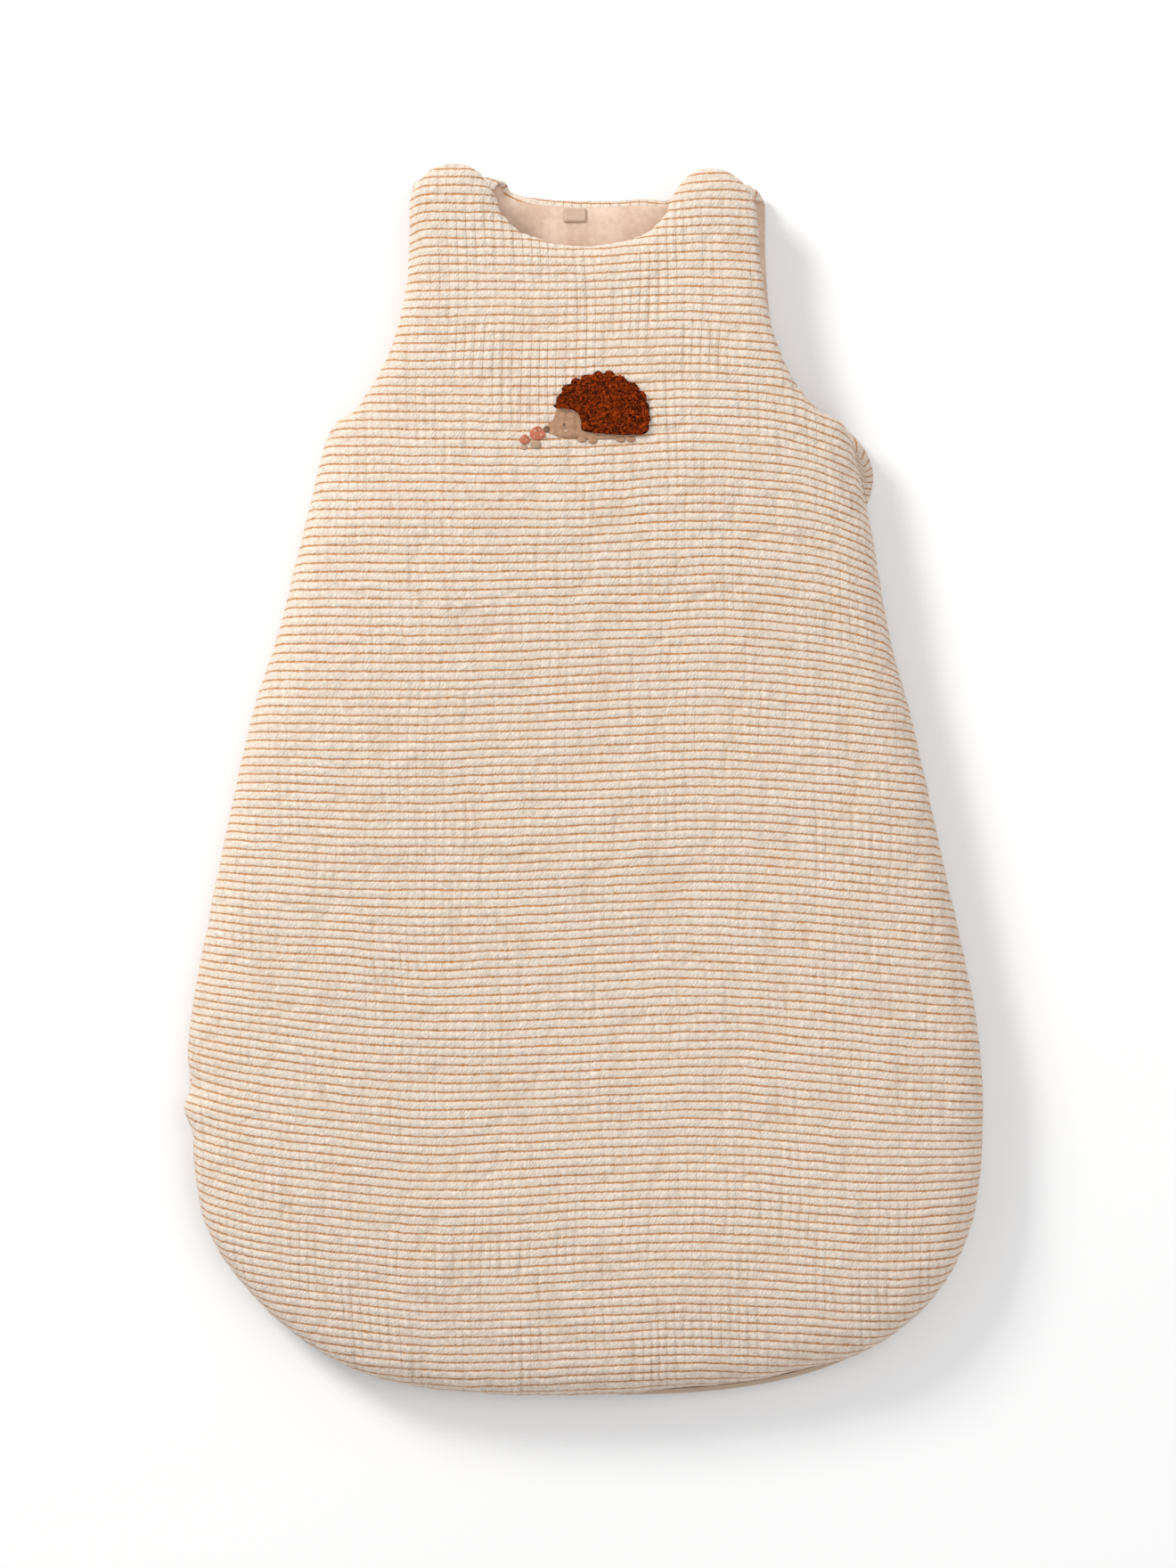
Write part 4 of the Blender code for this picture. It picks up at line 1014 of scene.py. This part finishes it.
def flat_area(points, faces):
    """The area of triangles in plan."""
    a, b, c = (points[[face[i] for face in faces], :2] for i in range(3))
    b, c = b - a, c - a
    return float(np.abs(b[:, 0] * c[:, 1] - b[:, 1] * c[:, 0]).sum() / 2)


def flat_size(points):
    return tuple(map(float, points[:, :2].max(0) - points[:, :2].min(0)))


def lining(loop, heights, side, offset, seed):
    ring = loop + inward_normals(loop) * lining_rim(loop)[:, None]
    coords, faces = coarse_fill(ring, LINING_GRID)
    z = heights(coords, line_distance(coords, loop, closed=True), line_distance(coords, seam_of(loop)))[side]
    wave = 0.0004 * value_noise(coords[:, 0] / 0.016, coords[:, 1] / 0.05, seed)
    wave += 0.0003 * value_noise(coords[:, 0] / 0.03, coords[:, 1] / 0.012, seed + 1)
    return np.column_stack([coords, z + offset + np.sign(offset) * np.abs(wave)]), faces


back_sheet, back_sheet_faces = lining(back_loop, back_heights, 1, LINING_GAP, 71)
back_lining = thin_shell("back_lining_sheet", back_sheet, back_sheet_faces, LINING_THICK,
                         JERSEY)
flat = np.array([v.co for v in back_lining.data.vertices])
back_lining.data.vertices.foreach_set("co", fold_over(flat).ravel().astype(np.float32))
back_lining.data.update()

front_sheet, front_sheet_faces = lining(front_loop, front_heights, 0, -LINING_GAP, 73)


def front_lining_piece(name, used, faces):
    points = front_sheet[used]
    piece = thin_shell(name, points, faces, LINING_THICK, JERSEY)
    return piece, flat_size(points), flat_area(points, faces)


lining_shares = shares_of_front(front_sheet, front_sheet_faces)
front_lining, front_size, front_area = front_lining_piece("front_lining_sheet", *lining_shares[0])
tab_lining_left, tab_size, tab_area = front_lining_piece("tab_lining_left", *lining_shares[1])
tab_lining_right, tab_size_right, tab_area_right = front_lining_piece("tab_lining_right", *lining_shares[2])

# ---- Riding: the back's quilt and lining ride the root body; the front's pieces are only baked in place ----
front_joint = next(j for j in frame["joints"] if j["name"] == "front_open")
hinge, along_hinge = np.array(front_joint["pos_m"], float), front_joint["axis"]
inward = np.array([-along_hinge[1], along_hinge[0], 0])
front_bend = [tuple(hinge + inward * reach) for reach in FRONT_BEND]
for piece in (front_quilt, front_lining):
    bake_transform(piece)
for side, pieces in (("left", (tab_left, tab_lining_left)), ("right", (tab_right, tab_lining_right))):
    for piece in pieces:
        "front_tab_" + side
        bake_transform(piece)
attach(back_quilt, "root")
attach(back_lining, "root")

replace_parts(front_quilt, "front_outer_fabric", "front_wadding", "front_seam_allowance")
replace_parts(front_lining, "front_lining")
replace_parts(back_quilt, "back_outer_fabric", "back_wadding", "back_seam_allowance",
            "back_tab_outer_left", "back_tab_wadding_left", "back_tab_outer_right", "back_tab_wadding_right")
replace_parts(back_lining, "back_lining", "back_tab_lining_left", "back_tab_lining_right")
for side, tab, sheet in (("left", tab_left, tab_lining_left), ("right", tab_right, tab_lining_right)):
    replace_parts(tab, "front_tab_outer_" + side, "front_tab_wadding_" + side)
    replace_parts(sheet, "front_tab_lining_" + side)


# ---- The zip ----
TAPE_EDGE, TAPE_BEND, TAPE_FOLD = 0.0064, 0.0070, 0.0130
ZIP_TOP_Y = 0.150
COIL_BACK_TOP_Y, COIL_FRONT_TOP_Y = 0.146, 0.134
COIL_INSET, COIL_HALF_WIDTH, COIL_HALF_HEIGHT = 0.0067, 0.00078, 0.00028
COIL_BACK_Z, COIL_FRONT_Z = 0.0108, 0.0130
COIL_PITCH, COIL_WIRE, COIL_STEPS, WIRE_SIDES = 0.00125, 0.00022, 9, 4
HEM_FOLD_X = (-0.008, 0.174)


def sweep(name, line, profile, look, taper=1.0):
    """A strip along a line, of a closed profile of (inset, height), with the bag on the line's left."""
    normals = inward_normals(line, closed=False)
    count, sides = len(line), len(profile)
    root = profile[0][0]
    points = np.empty((count, sides, 3))
    for k, (inset, z) in enumerate(profile):
        points[:, k, :2] = line + normals * (root + (inset - root) * taper * np.ones(count))[:, None]
        points[:, k, 2] = z
    ends = [tuple(range(sides)), tuple(range((count - 1) * sides, count * sides))[::-1]]
    run = lengths(line)
    cloth = np.column_stack([np.repeat(run, sides), np.tile([z for _, z in profile], count),
                             np.zeros(count * sides)])
    piece = make_mesh(name, points.reshape(-1, 3), wall_quads(count, sides).tolist() + ends, cloth=cloth)
    piece.data.set_sharp_from_angle(angle=math.radians(40))
    piece.data.materials.append(look)
    return piece, float(run[-1])


def coil(name, line, height, turn=0.0):
    """The zip's spiral of nylon, as one long helix."""
    run = lengths(line)
    at = np.arange(0, run[-1], COIL_PITCH / COIL_STEPS)
    centre = read_along(line, run, at)
    normals = read_along(inward_normals(line, closed=False), run, at)
    tangent = np.stack([normals[:, 1], -normals[:, 0]], -1)
    angle = 2 * math.pi * at / COIL_PITCH + turn
    points = np.empty((len(at), WIRE_SIDES, 3))
    for k in range(WIRE_SIDES):
        spin = 2 * math.pi / WIRE_SIDES * k
        out, shift = COIL_WIRE * math.cos(spin), COIL_WIRE * math.sin(spin)
        across = COIL_INSET + (COIL_HALF_WIDTH + out) * np.cos(angle)
        points[:, k, :2] = centre + normals * across[:, None] + tangent * shift
        points[:, k, 2] = height + (COIL_HALF_HEIGHT + out) * np.sin(angle)
    last = (len(at) - 1) * WIRE_SIDES
    ends = [tuple(range(WIRE_SIDES))[::-1], tuple(range(last, last + WIRE_SIDES))]
    quads = wall_quads(len(at), WIRE_SIDES)[:, ::-1].tolist()
    piece = make_mesh(name, points.reshape(-1, 3), quads + ends)
    piece.data.materials.append(COIL)
    return piece


plain_seam = seam_of(front_outline(settled=False))
seam_x, seam_y = plain_seam.T
zip_line = plain_seam[(seam_y < WIDEST_Y) | ((seam_x > 0) & (seam_y < ZIP_TOP_Y))]
tape_back, tape_length = sweep("zip_tape_back_woven", zip_line, [
    (TAPE_EDGE, 0.0102), (TAPE_EDGE, 0.0060), (TAPE_FOLD, 0.0060),
    (TAPE_FOLD, 0.0066), (TAPE_BEND, 0.0066), (TAPE_BEND, 0.0102)], TAPE)
tape_front, _ = sweep("zip_tape_front_woven", zip_line, [
    (TAPE_EDGE, 0.0174), (TAPE_EDGE, 0.0136), (TAPE_BEND, 0.0136),
    (TAPE_BEND, 0.0168), (TAPE_FOLD, 0.0168), (TAPE_FOLD, 0.0174)], TAPE)
guard, _ = sweep("zip_guard_quilted", zip_line, [
    (0.0102, 0.0058), (0.0108, 0.0058), (0.0109, 0.0110), (0.0108, 0.0163),
    (0.0105, 0.0166), (0.0101, 0.0163), (0.0100, 0.0110)], GAUZE)
zip_x, zip_y = zip_line.T
coil_back = coil("zip_coil_back_spiral", zip_line[zip_y < COIL_BACK_TOP_Y], COIL_BACK_Z)
coil_front = coil("zip_coil_front_spiral", zip_line[(zip_y < COIL_FRONT_TOP_Y) | (zip_x < 0)], COIL_FRONT_Z,
                  turn=math.pi)

# The tape's fold that shows along the hem, with a painted shadow line along its inner side, under the front's
# edge
flap_line = plain_seam[(seam_y < -0.20) & (seam_x > HEM_FOLD_X[0]) & (seam_x < HEM_FOLD_X[1])]
flap_profile = [(0.0075, 0.0148), (0.0036, 0.0144), (0.0029, 0.0142), (0.0021, 0.0148), (-0.0001, 0.0138),
                (-0.0008, 0.0122), (-0.0003, 0.0115), (0.0040, 0.0134), (0.0075, 0.0136)]
SHADOWED_POINTS = 3
from_middle = (flap_line[:, 0] - sum(HEM_FOLD_X) / 2) / ((HEM_FOLD_X[1] - HEM_FOLD_X[0]) / 2)
flap, _ = sweep("zip_tape_hem_fold", flap_line, flap_profile, TAPE,
                taper=np.clip(1 - np.abs(from_middle) ** 12, 0.02, 1))
# The first profile points, under the front's edge, get the painted shadow line
mark(flap, "seam", np.tile([k < SHADOWED_POINTS for k in range(len(flap_profile))], len(flap_line)))

for piece in (tape_front, coil_front):
    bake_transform(piece)
for piece in (tape_back, coil_back, guard, flap):
    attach(piece, "root")
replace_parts(tape_back, "zip_tape_back")
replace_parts(tape_front, "zip_tape_front")
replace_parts(coil_back, "zip_coil_back")
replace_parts(coil_front, "zip_coil_front")
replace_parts(guard, "zip_guard")


# ---- Small padded and woven pieces ----
GARAGE_HALF = np.array([0.0022, 0.0037, 0.0023])
GARAGE_POWER = 0.35
ROWS, ROUND = 19, 40
LABEL_THICK = 0.00035


def node_middle(node):
    """A CAD node's middle and half its size."""
    low, high = (np.array(corner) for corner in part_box(node))
    return (low + high) / 2, (high - low) / 2


def soft_block(name, middle, half, turn):
    """A rounded block of gauze, turned about its middle."""
    def bent(value):
        return np.sign(value) * np.abs(value) ** GARAGE_POWER

    a = np.linspace(0, 2 * math.pi, ROUND, endpoint=False)
    rows = []
    for b in np.linspace(-math.pi / 2, math.pi / 2, ROWS + 2)[1:-1]:
        reach = bent(np.cos(b))
        ring = [reach * bent(np.cos(a)), reach * bent(np.sin(a)), np.full(ROUND, bent(np.sin(b)))]
        rows.append(np.stack(ring, -1))
    points = turned(np.concatenate(rows + [np.array([[0, 0, -1], [0, 0, 1]])]) * half, 0, 1, turn) + middle
    faces = wall_quads(ROWS, ROUND)[:, ::-1].tolist()
    low_pole, top_ring = ROWS * ROUND, (ROWS - 1) * ROUND
    for i, j in ring_edges(ROUND):
        faces += [(low_pole, j, i), (low_pole + 1, top_ring + i, top_ring + j)]
    cloth = np.column_stack([points[:, 0], along_cloth(points[:, 0], points[:, 1]), np.zeros(len(points))])
    piece = make_mesh(name, points, faces, cloth=cloth)
    piece.data.materials.append(GAUZE)
    return piece


garage = soft_block("zip_garage_folded", node_middle("zip_garage")[0], GARAGE_HALF, SIDE_FLARE)
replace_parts(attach(garage, "root"), "zip_garage")

lining_mesh = back_lining.data
lining_tree = tree_of([v.co for v in lining_mesh.vertices], [p.vertices for p in lining_mesh.polygons])


def woven_tag(name, node):
    """A small label that lies on the lining, with rounded corners and a slightly lifted edge."""
    middle, half = node_middle(node)
    angle = np.linspace(0, 2 * math.pi, 64, endpoint=False)
    coords, faces = coarse_fill(superellipse(angle, 12) * half[:2] + middle[:2], 0.0016)
    away = np.abs((coords - middle[:2]) / half[:2]).max(1)
    z = height_over(lining_tree, coords) + LABEL_THICK + 0.0001 + 0.0003 * away ** 6
    piece = thin_shell(name, np.column_stack([coords, z]), faces, LABEL_THICK, LABEL)
    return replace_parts(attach(piece, "root"), node)


neck_tag = woven_tag("neck_tag", "neck_label")
care_tag = woven_tag("care_tag", "care_label")
flat_size(back_sheet)
flat_area(back_sheet, back_sheet_faces)


# ---- The hedgehog on the chest, laid out in millimetres ----
PRINT_SHIFT = np.array([0.0006, -0.0018])
CURVE_STEPS = 7
FUR_TUFTS = 12
INK = 0.00022
INK_THICK = 0.0002


def rounded(points, closed=True):
    """A smooth curve through a few points, given in millimetres, as metres."""
    points = np.array(points, float) / MM + PRINT_SHIFT
    last = len(points) - 1
    result = []
    for i in range(last + closed):
        near = (i + k for k in (-1, 0, 1, 2))
        a, b, c, d = (points[k % len(points) if closed else min(max(k, 0), last)] for k in near)
        for t in np.arange(CURVE_STEPS) / CURVE_STEPS:
            result.append(0.5 * (2 * b + (c - a) * t + (2 * a - 5 * b + 4 * c - d) * t * t
                                 + (3 * b - 3 * c + d - a) * t ** 3))
    return np.array(result)


def oval(x, y, half_x, half_y, power=2.0, steps=28):
    angle = np.linspace(0, 2 * math.pi, steps, endpoint=False)
    return superellipse(angle, power) * (half_x / MM, half_y / MM) + (x / MM, y / MM) + PRINT_SHIFT


def printed(name, outline, colour, shade, lift, spacing=0.0009):
    ahead = np.roll(outline, -1, 0)
    if (outline[:, 0] * ahead[:, 1] - outline[:, 1] * ahead[:, 0]).sum() < 0:
        outline = outline[::-1]
    coords, faces = coarse_fill(outline, spacing)
    around = [(0, 0), (0.0005, 0), (-0.0005, 0), (0, 0.0004), (0, -0.0004)]
    z = np.max([height_over(front_tree, coords + step) for step in around], axis=0) + lift
    look = print_on(name + "_ink", colour, shade)
    piece = thin_shell(name, np.column_stack([coords, z]), faces, INK_THICK, look)
    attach(piece, "front")


# Each ink's colour and its darker shade
FACE = (168, 128, 98), (148, 108, 80)
NOSE = (112, 70, 48), (90, 54, 36)
EYE = (84, 52, 36), (70, 42, 28)
CHEEK = (214, 186, 164), (204, 174, 150)
CAP = (186, 92, 66), (168, 74, 50)
STEM = (178, 150, 126), (158, 130, 106)
DOT = (226, 200, 180), (214, 186, 166)
printed("hedgehog_face_print", rounded([(-22.4, 199.6), (-18, 206), (-14.5, 213), (-3, 213), (2, 205),
                                        (1, 196.5), (-7, 194.6), (-17, 196)]), *FACE, INK)
printed("hedgehog_belly_print", rounded([(-4, 198.5), (14, 199.5), (29, 198.5), (27.5, 195.0), (12, 193.9),
                                         (-2, 194.4)]), *FACE, INK * 1.3)
printed("hedgehog_nose_print", oval(-21.9, 199.7, 1.8, 1.8), *NOSE, INK * 2.2)
printed("hedgehog_eye_print", oval(-12.2, 202.2, 0.6, 0.8), *EYE, INK * 2.2)
printed("hedgehog_cheek_print", oval(-11.0, 198.6, 0.9, 0.6), *CHEEK, INK * 2.2)
printed("toadstool_stem_large", oval(-27.9, 191.0, 2.9, 2.5, 2.6), *STEM, INK)
printed("toadstool_stem_small", oval(-34.6, 189.6, 1.8, 1.6, 2.6), *STEM, INK)
printed("toadstool_cap_large", rounded([(-31.0, 195.2), (-30.6, 199), (-26.9, 201.4), (-23.4, 198.8),
                                        (-22.7, 195.2), (-27, 193.4)]), *CAP, INK * 2)
printed("toadstool_cap_small", rounded([(-36.9, 192.4), (-36.4, 195), (-34.1, 196.6), (-31.8, 195),
                                        (-31.4, 192.4), (-34.1, 191.2)]), *CAP, INK * 2.6)
DOTS = ((-28.4, 198.6, 0.55), (-25.8, 199.2, 0.45), (-25, 196.4, 0.5), (-28.6, 195.6, 0.4), (-35, 194.8, 0.4),
        (-33, 193.6, 0.35))
for number, (x, y, size) in enumerate(DOTS):
    printed(f"toadstool_dot_{number}", oval(x, y, size, size, steps=12), *DOT, INK * 3.6, spacing=0.0006)
FEET = ((-2.1, 193.8), (4.0, 193.0), (19.8, 193.9), (25.5, 194.0))
for number, (x, y) in enumerate(FEET):
    printed(f"hedgehog_foot_{number}", oval(x, y, 2.5, 1.7, 2.4), *FACE, INK * 1.9)


FUR_ROUND = (26.8, 23.6)
FUR_TUFT = (2.1, 2.7)
FUR_CENTRE = (0.0090, 0.2068)


def fur_outline():
    """The looped coat: a round back edged with tufts, a brow over the face and a straight belly."""
    t = np.linspace(0, 1, 220)
    angle = math.radians(-24) + math.radians(188) * t
    tuft = np.abs(np.sin(FUR_TUFTS * math.pi * t + 0.5 * np.sin(9 * t))) ** 0.8
    tuft = tuft * (0.5 + 0.5 * np.sin(angle).clip(0)) * (0.85 + 0.3 * np.sin(23 * t + 1))
    spread = np.array(FUR_ROUND) + tuft[:, None] * FUR_TUFT
    back = spread * np.stack([np.cos(angle), np.sin(angle)], -1) / MM + FUR_CENTRE + PRINT_SHIFT
    brow = rounded([(-18.6, 213.6), (-16.2, 211.6), (-9, 211.2), (-4.2, 208.6), (-2.4, 203.5), (-1.6, 199.0),
                    (8, 197.4), (24, 196.4), (33.4, 196.8)], closed=False)
    return resample(np.concatenate([back, brow]), 0.0008)


fur_edge = fur_outline()
fur_coords, fur_faces = coarse_fill(fur_edge, 0.0013)
fur_in = np.maximum(line_distance(fur_coords, fur_edge, closed=True), 0)
fur_top = height_over(front_tree, fur_coords) + 0.0004 + 0.0013 * np.sqrt(np.clip(fur_in / 0.0022, 0, 1))
# The ground under the loops is painted near black-brown as the shade between them
fur_shade_ground = thin_shell("hedgehog_coat_shade_ground", np.column_stack([fur_coords, fur_top]), fur_faces, 0.0012,
                     BOUCLE)
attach(fur_shade_ground, "front")


def loops_of_wool(name, outline, spacing, seed):
    """Curls of yarn, each a small leaning ring, packed inside an outline."""
    rng = np.random.default_rng(seed)
    low, high = outline.min(0), outline.max(0)
    xs = np.arange(low[0], high[0], spacing)
    ys = np.arange(low[1], high[1], spacing * 0.87)
    grid = np.stack(np.meshgrid(xs, ys, indexing="ij"), -1)
    grid[:, 1::2, 0] += spacing / 2
    grid = grid.reshape(-1, 2) + rng.uniform(-0.3, 0.3, (grid.size // 2, 2)) * spacing
    grid = grid[line_distance(grid, outline, closed=True) > 0.0004]
    base = height_over(front_tree, grid)
    around, across = 10, 5
    a = np.arange(around) * 2 * math.pi / around
    b = np.arange(across) * 2 * math.pi / across
    points, faces, tones = [], [], []
    for (x, y), z in zip(grid, base):
        big = rng.uniform(0.00045, 0.00075)
        yarn = rng.uniform(0.00024, 0.00036)
        heading, lean, roll = rng.uniform(0, 2 * math.pi), rng.uniform(0.2, 1.2), rng.uniform(0, 2 * math.pi)
        wave = 1 + 0.18 * np.sin(2 * a + roll)
        reach = (big * wave)[:, None] + yarn * np.cos(b)
        ring = np.stack([reach * np.cos(a)[:, None], reach * np.sin(a)[:, None],
                         np.broadcast_to(yarn * np.sin(b), (around, across))], -1).reshape(-1, 3)
        ring = turned(turned(ring, 1, 2, lean), 0, 1, heading)
        tones.append(rng.uniform(0.2, 1.0) ** 1.4)
        faces.append(len(points) * around * across + wall_quads(around, across, closed=True))
        points.append(ring + (x, y, z + 0.0015 + rng.uniform(0, 0.0007)))
    piece = make_mesh(name, np.concatenate(points), np.concatenate(faces).tolist())
    piece.data.materials.append(BOUCLE)
    mark(piece, "tone", np.repeat(tones, around * across))
    return piece


coat = loops_of_wool("hedgehog_coat_loops", fur_edge, 0.00110, 5)
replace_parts(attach(coat, "front"), "hedgehog_patch")

# ---- CAD pieces kept, with better finishes ----
FINISHES = {"zip_metal": METAL, "snap_plastic": SNAP, "zip_coil": COIL, "zip_tape": TAPE,
            "woven_label": LABEL, "striped_gauze": GAUZE, "lining_jersey": JERSEY, "boucle": BOUCLE}
for node in frame["nodes"].values():
    name = node.data.materials[0].name.split(".")[0] if node.data.materials else ""
    if name in FINISHES:
        node.data.materials[0] = FINISHES[name]

# ---- Floor, camera and light ----
FLOOR_Z = -0.0006
floor = make_mesh("floor", [(x, y, FLOOR_Z) for x, y in ((-4, -4), (4, -4), (4, 4), (-4, 4))], [(0, 1, 2, 3)],
                  smooth=False)
floor_tree = Tree("floor_look")
floor_x, floor_y, _ = floor_tree.place(1.0)
pale = floor_tree.mix(floor_tree.noise(floor_x, floor_y), (252, 252, 252), (249, 249, 249))
floor.data.materials.append(floor_tree.finish(pale, 0.9))

LENS = 85
SENSOR = 36
FRAME_HEIGHT = 0.8928
CAMERA_X, CAMERA_Y = 0.002, -0.002
camera_data = bpy.data.cameras.new("camera")
camera_data.lens, camera_data.sensor_width = LENS, SENSOR
camera = bpy.data.objects.new("camera", camera_data)
camera.location = (CAMERA_X, CAMERA_Y, LENS / SENSOR * FRAME_HEIGHT + FRONT_SEAM_Z)
bpy.context.scene.collection.objects.link(camera)
bpy.context.scene.camera = camera


def area_light(name, place, size, watts, colour):
    light = bpy.data.lights.new(name, "AREA")
    light.size, light.energy, light.color = size, watts, colour
    lamp = bpy.data.objects.new(name, light)
    lamp.location = place
    lamp.rotation_mode = "QUATERNION"
    lamp.rotation_quaternion = (-Vector(place)).to_track_quat("-Z", "Y")
    bpy.context.scene.collection.objects.link(lamp)


area_light("key", (-2.1, 2.0, 1.6), 0.9, 80, (1.0, 0.985, 0.96))
area_light("overhead", (0.8, 0.15, 2.6), 2.5, 27.5, (1.0, 0.985, 0.965))
world = bpy.data.worlds.new("studio")
bpy.context.scene.world = world
world.use_nodes = True
world.node_tree.nodes["Background"].inputs["Color"].default_value = (0.97, 0.98, 1.0, 1)
world.node_tree.nodes["Background"].inputs["Strength"].default_value = 0.5
bpy.context.scene.view_settings.view_transform = "Standard"
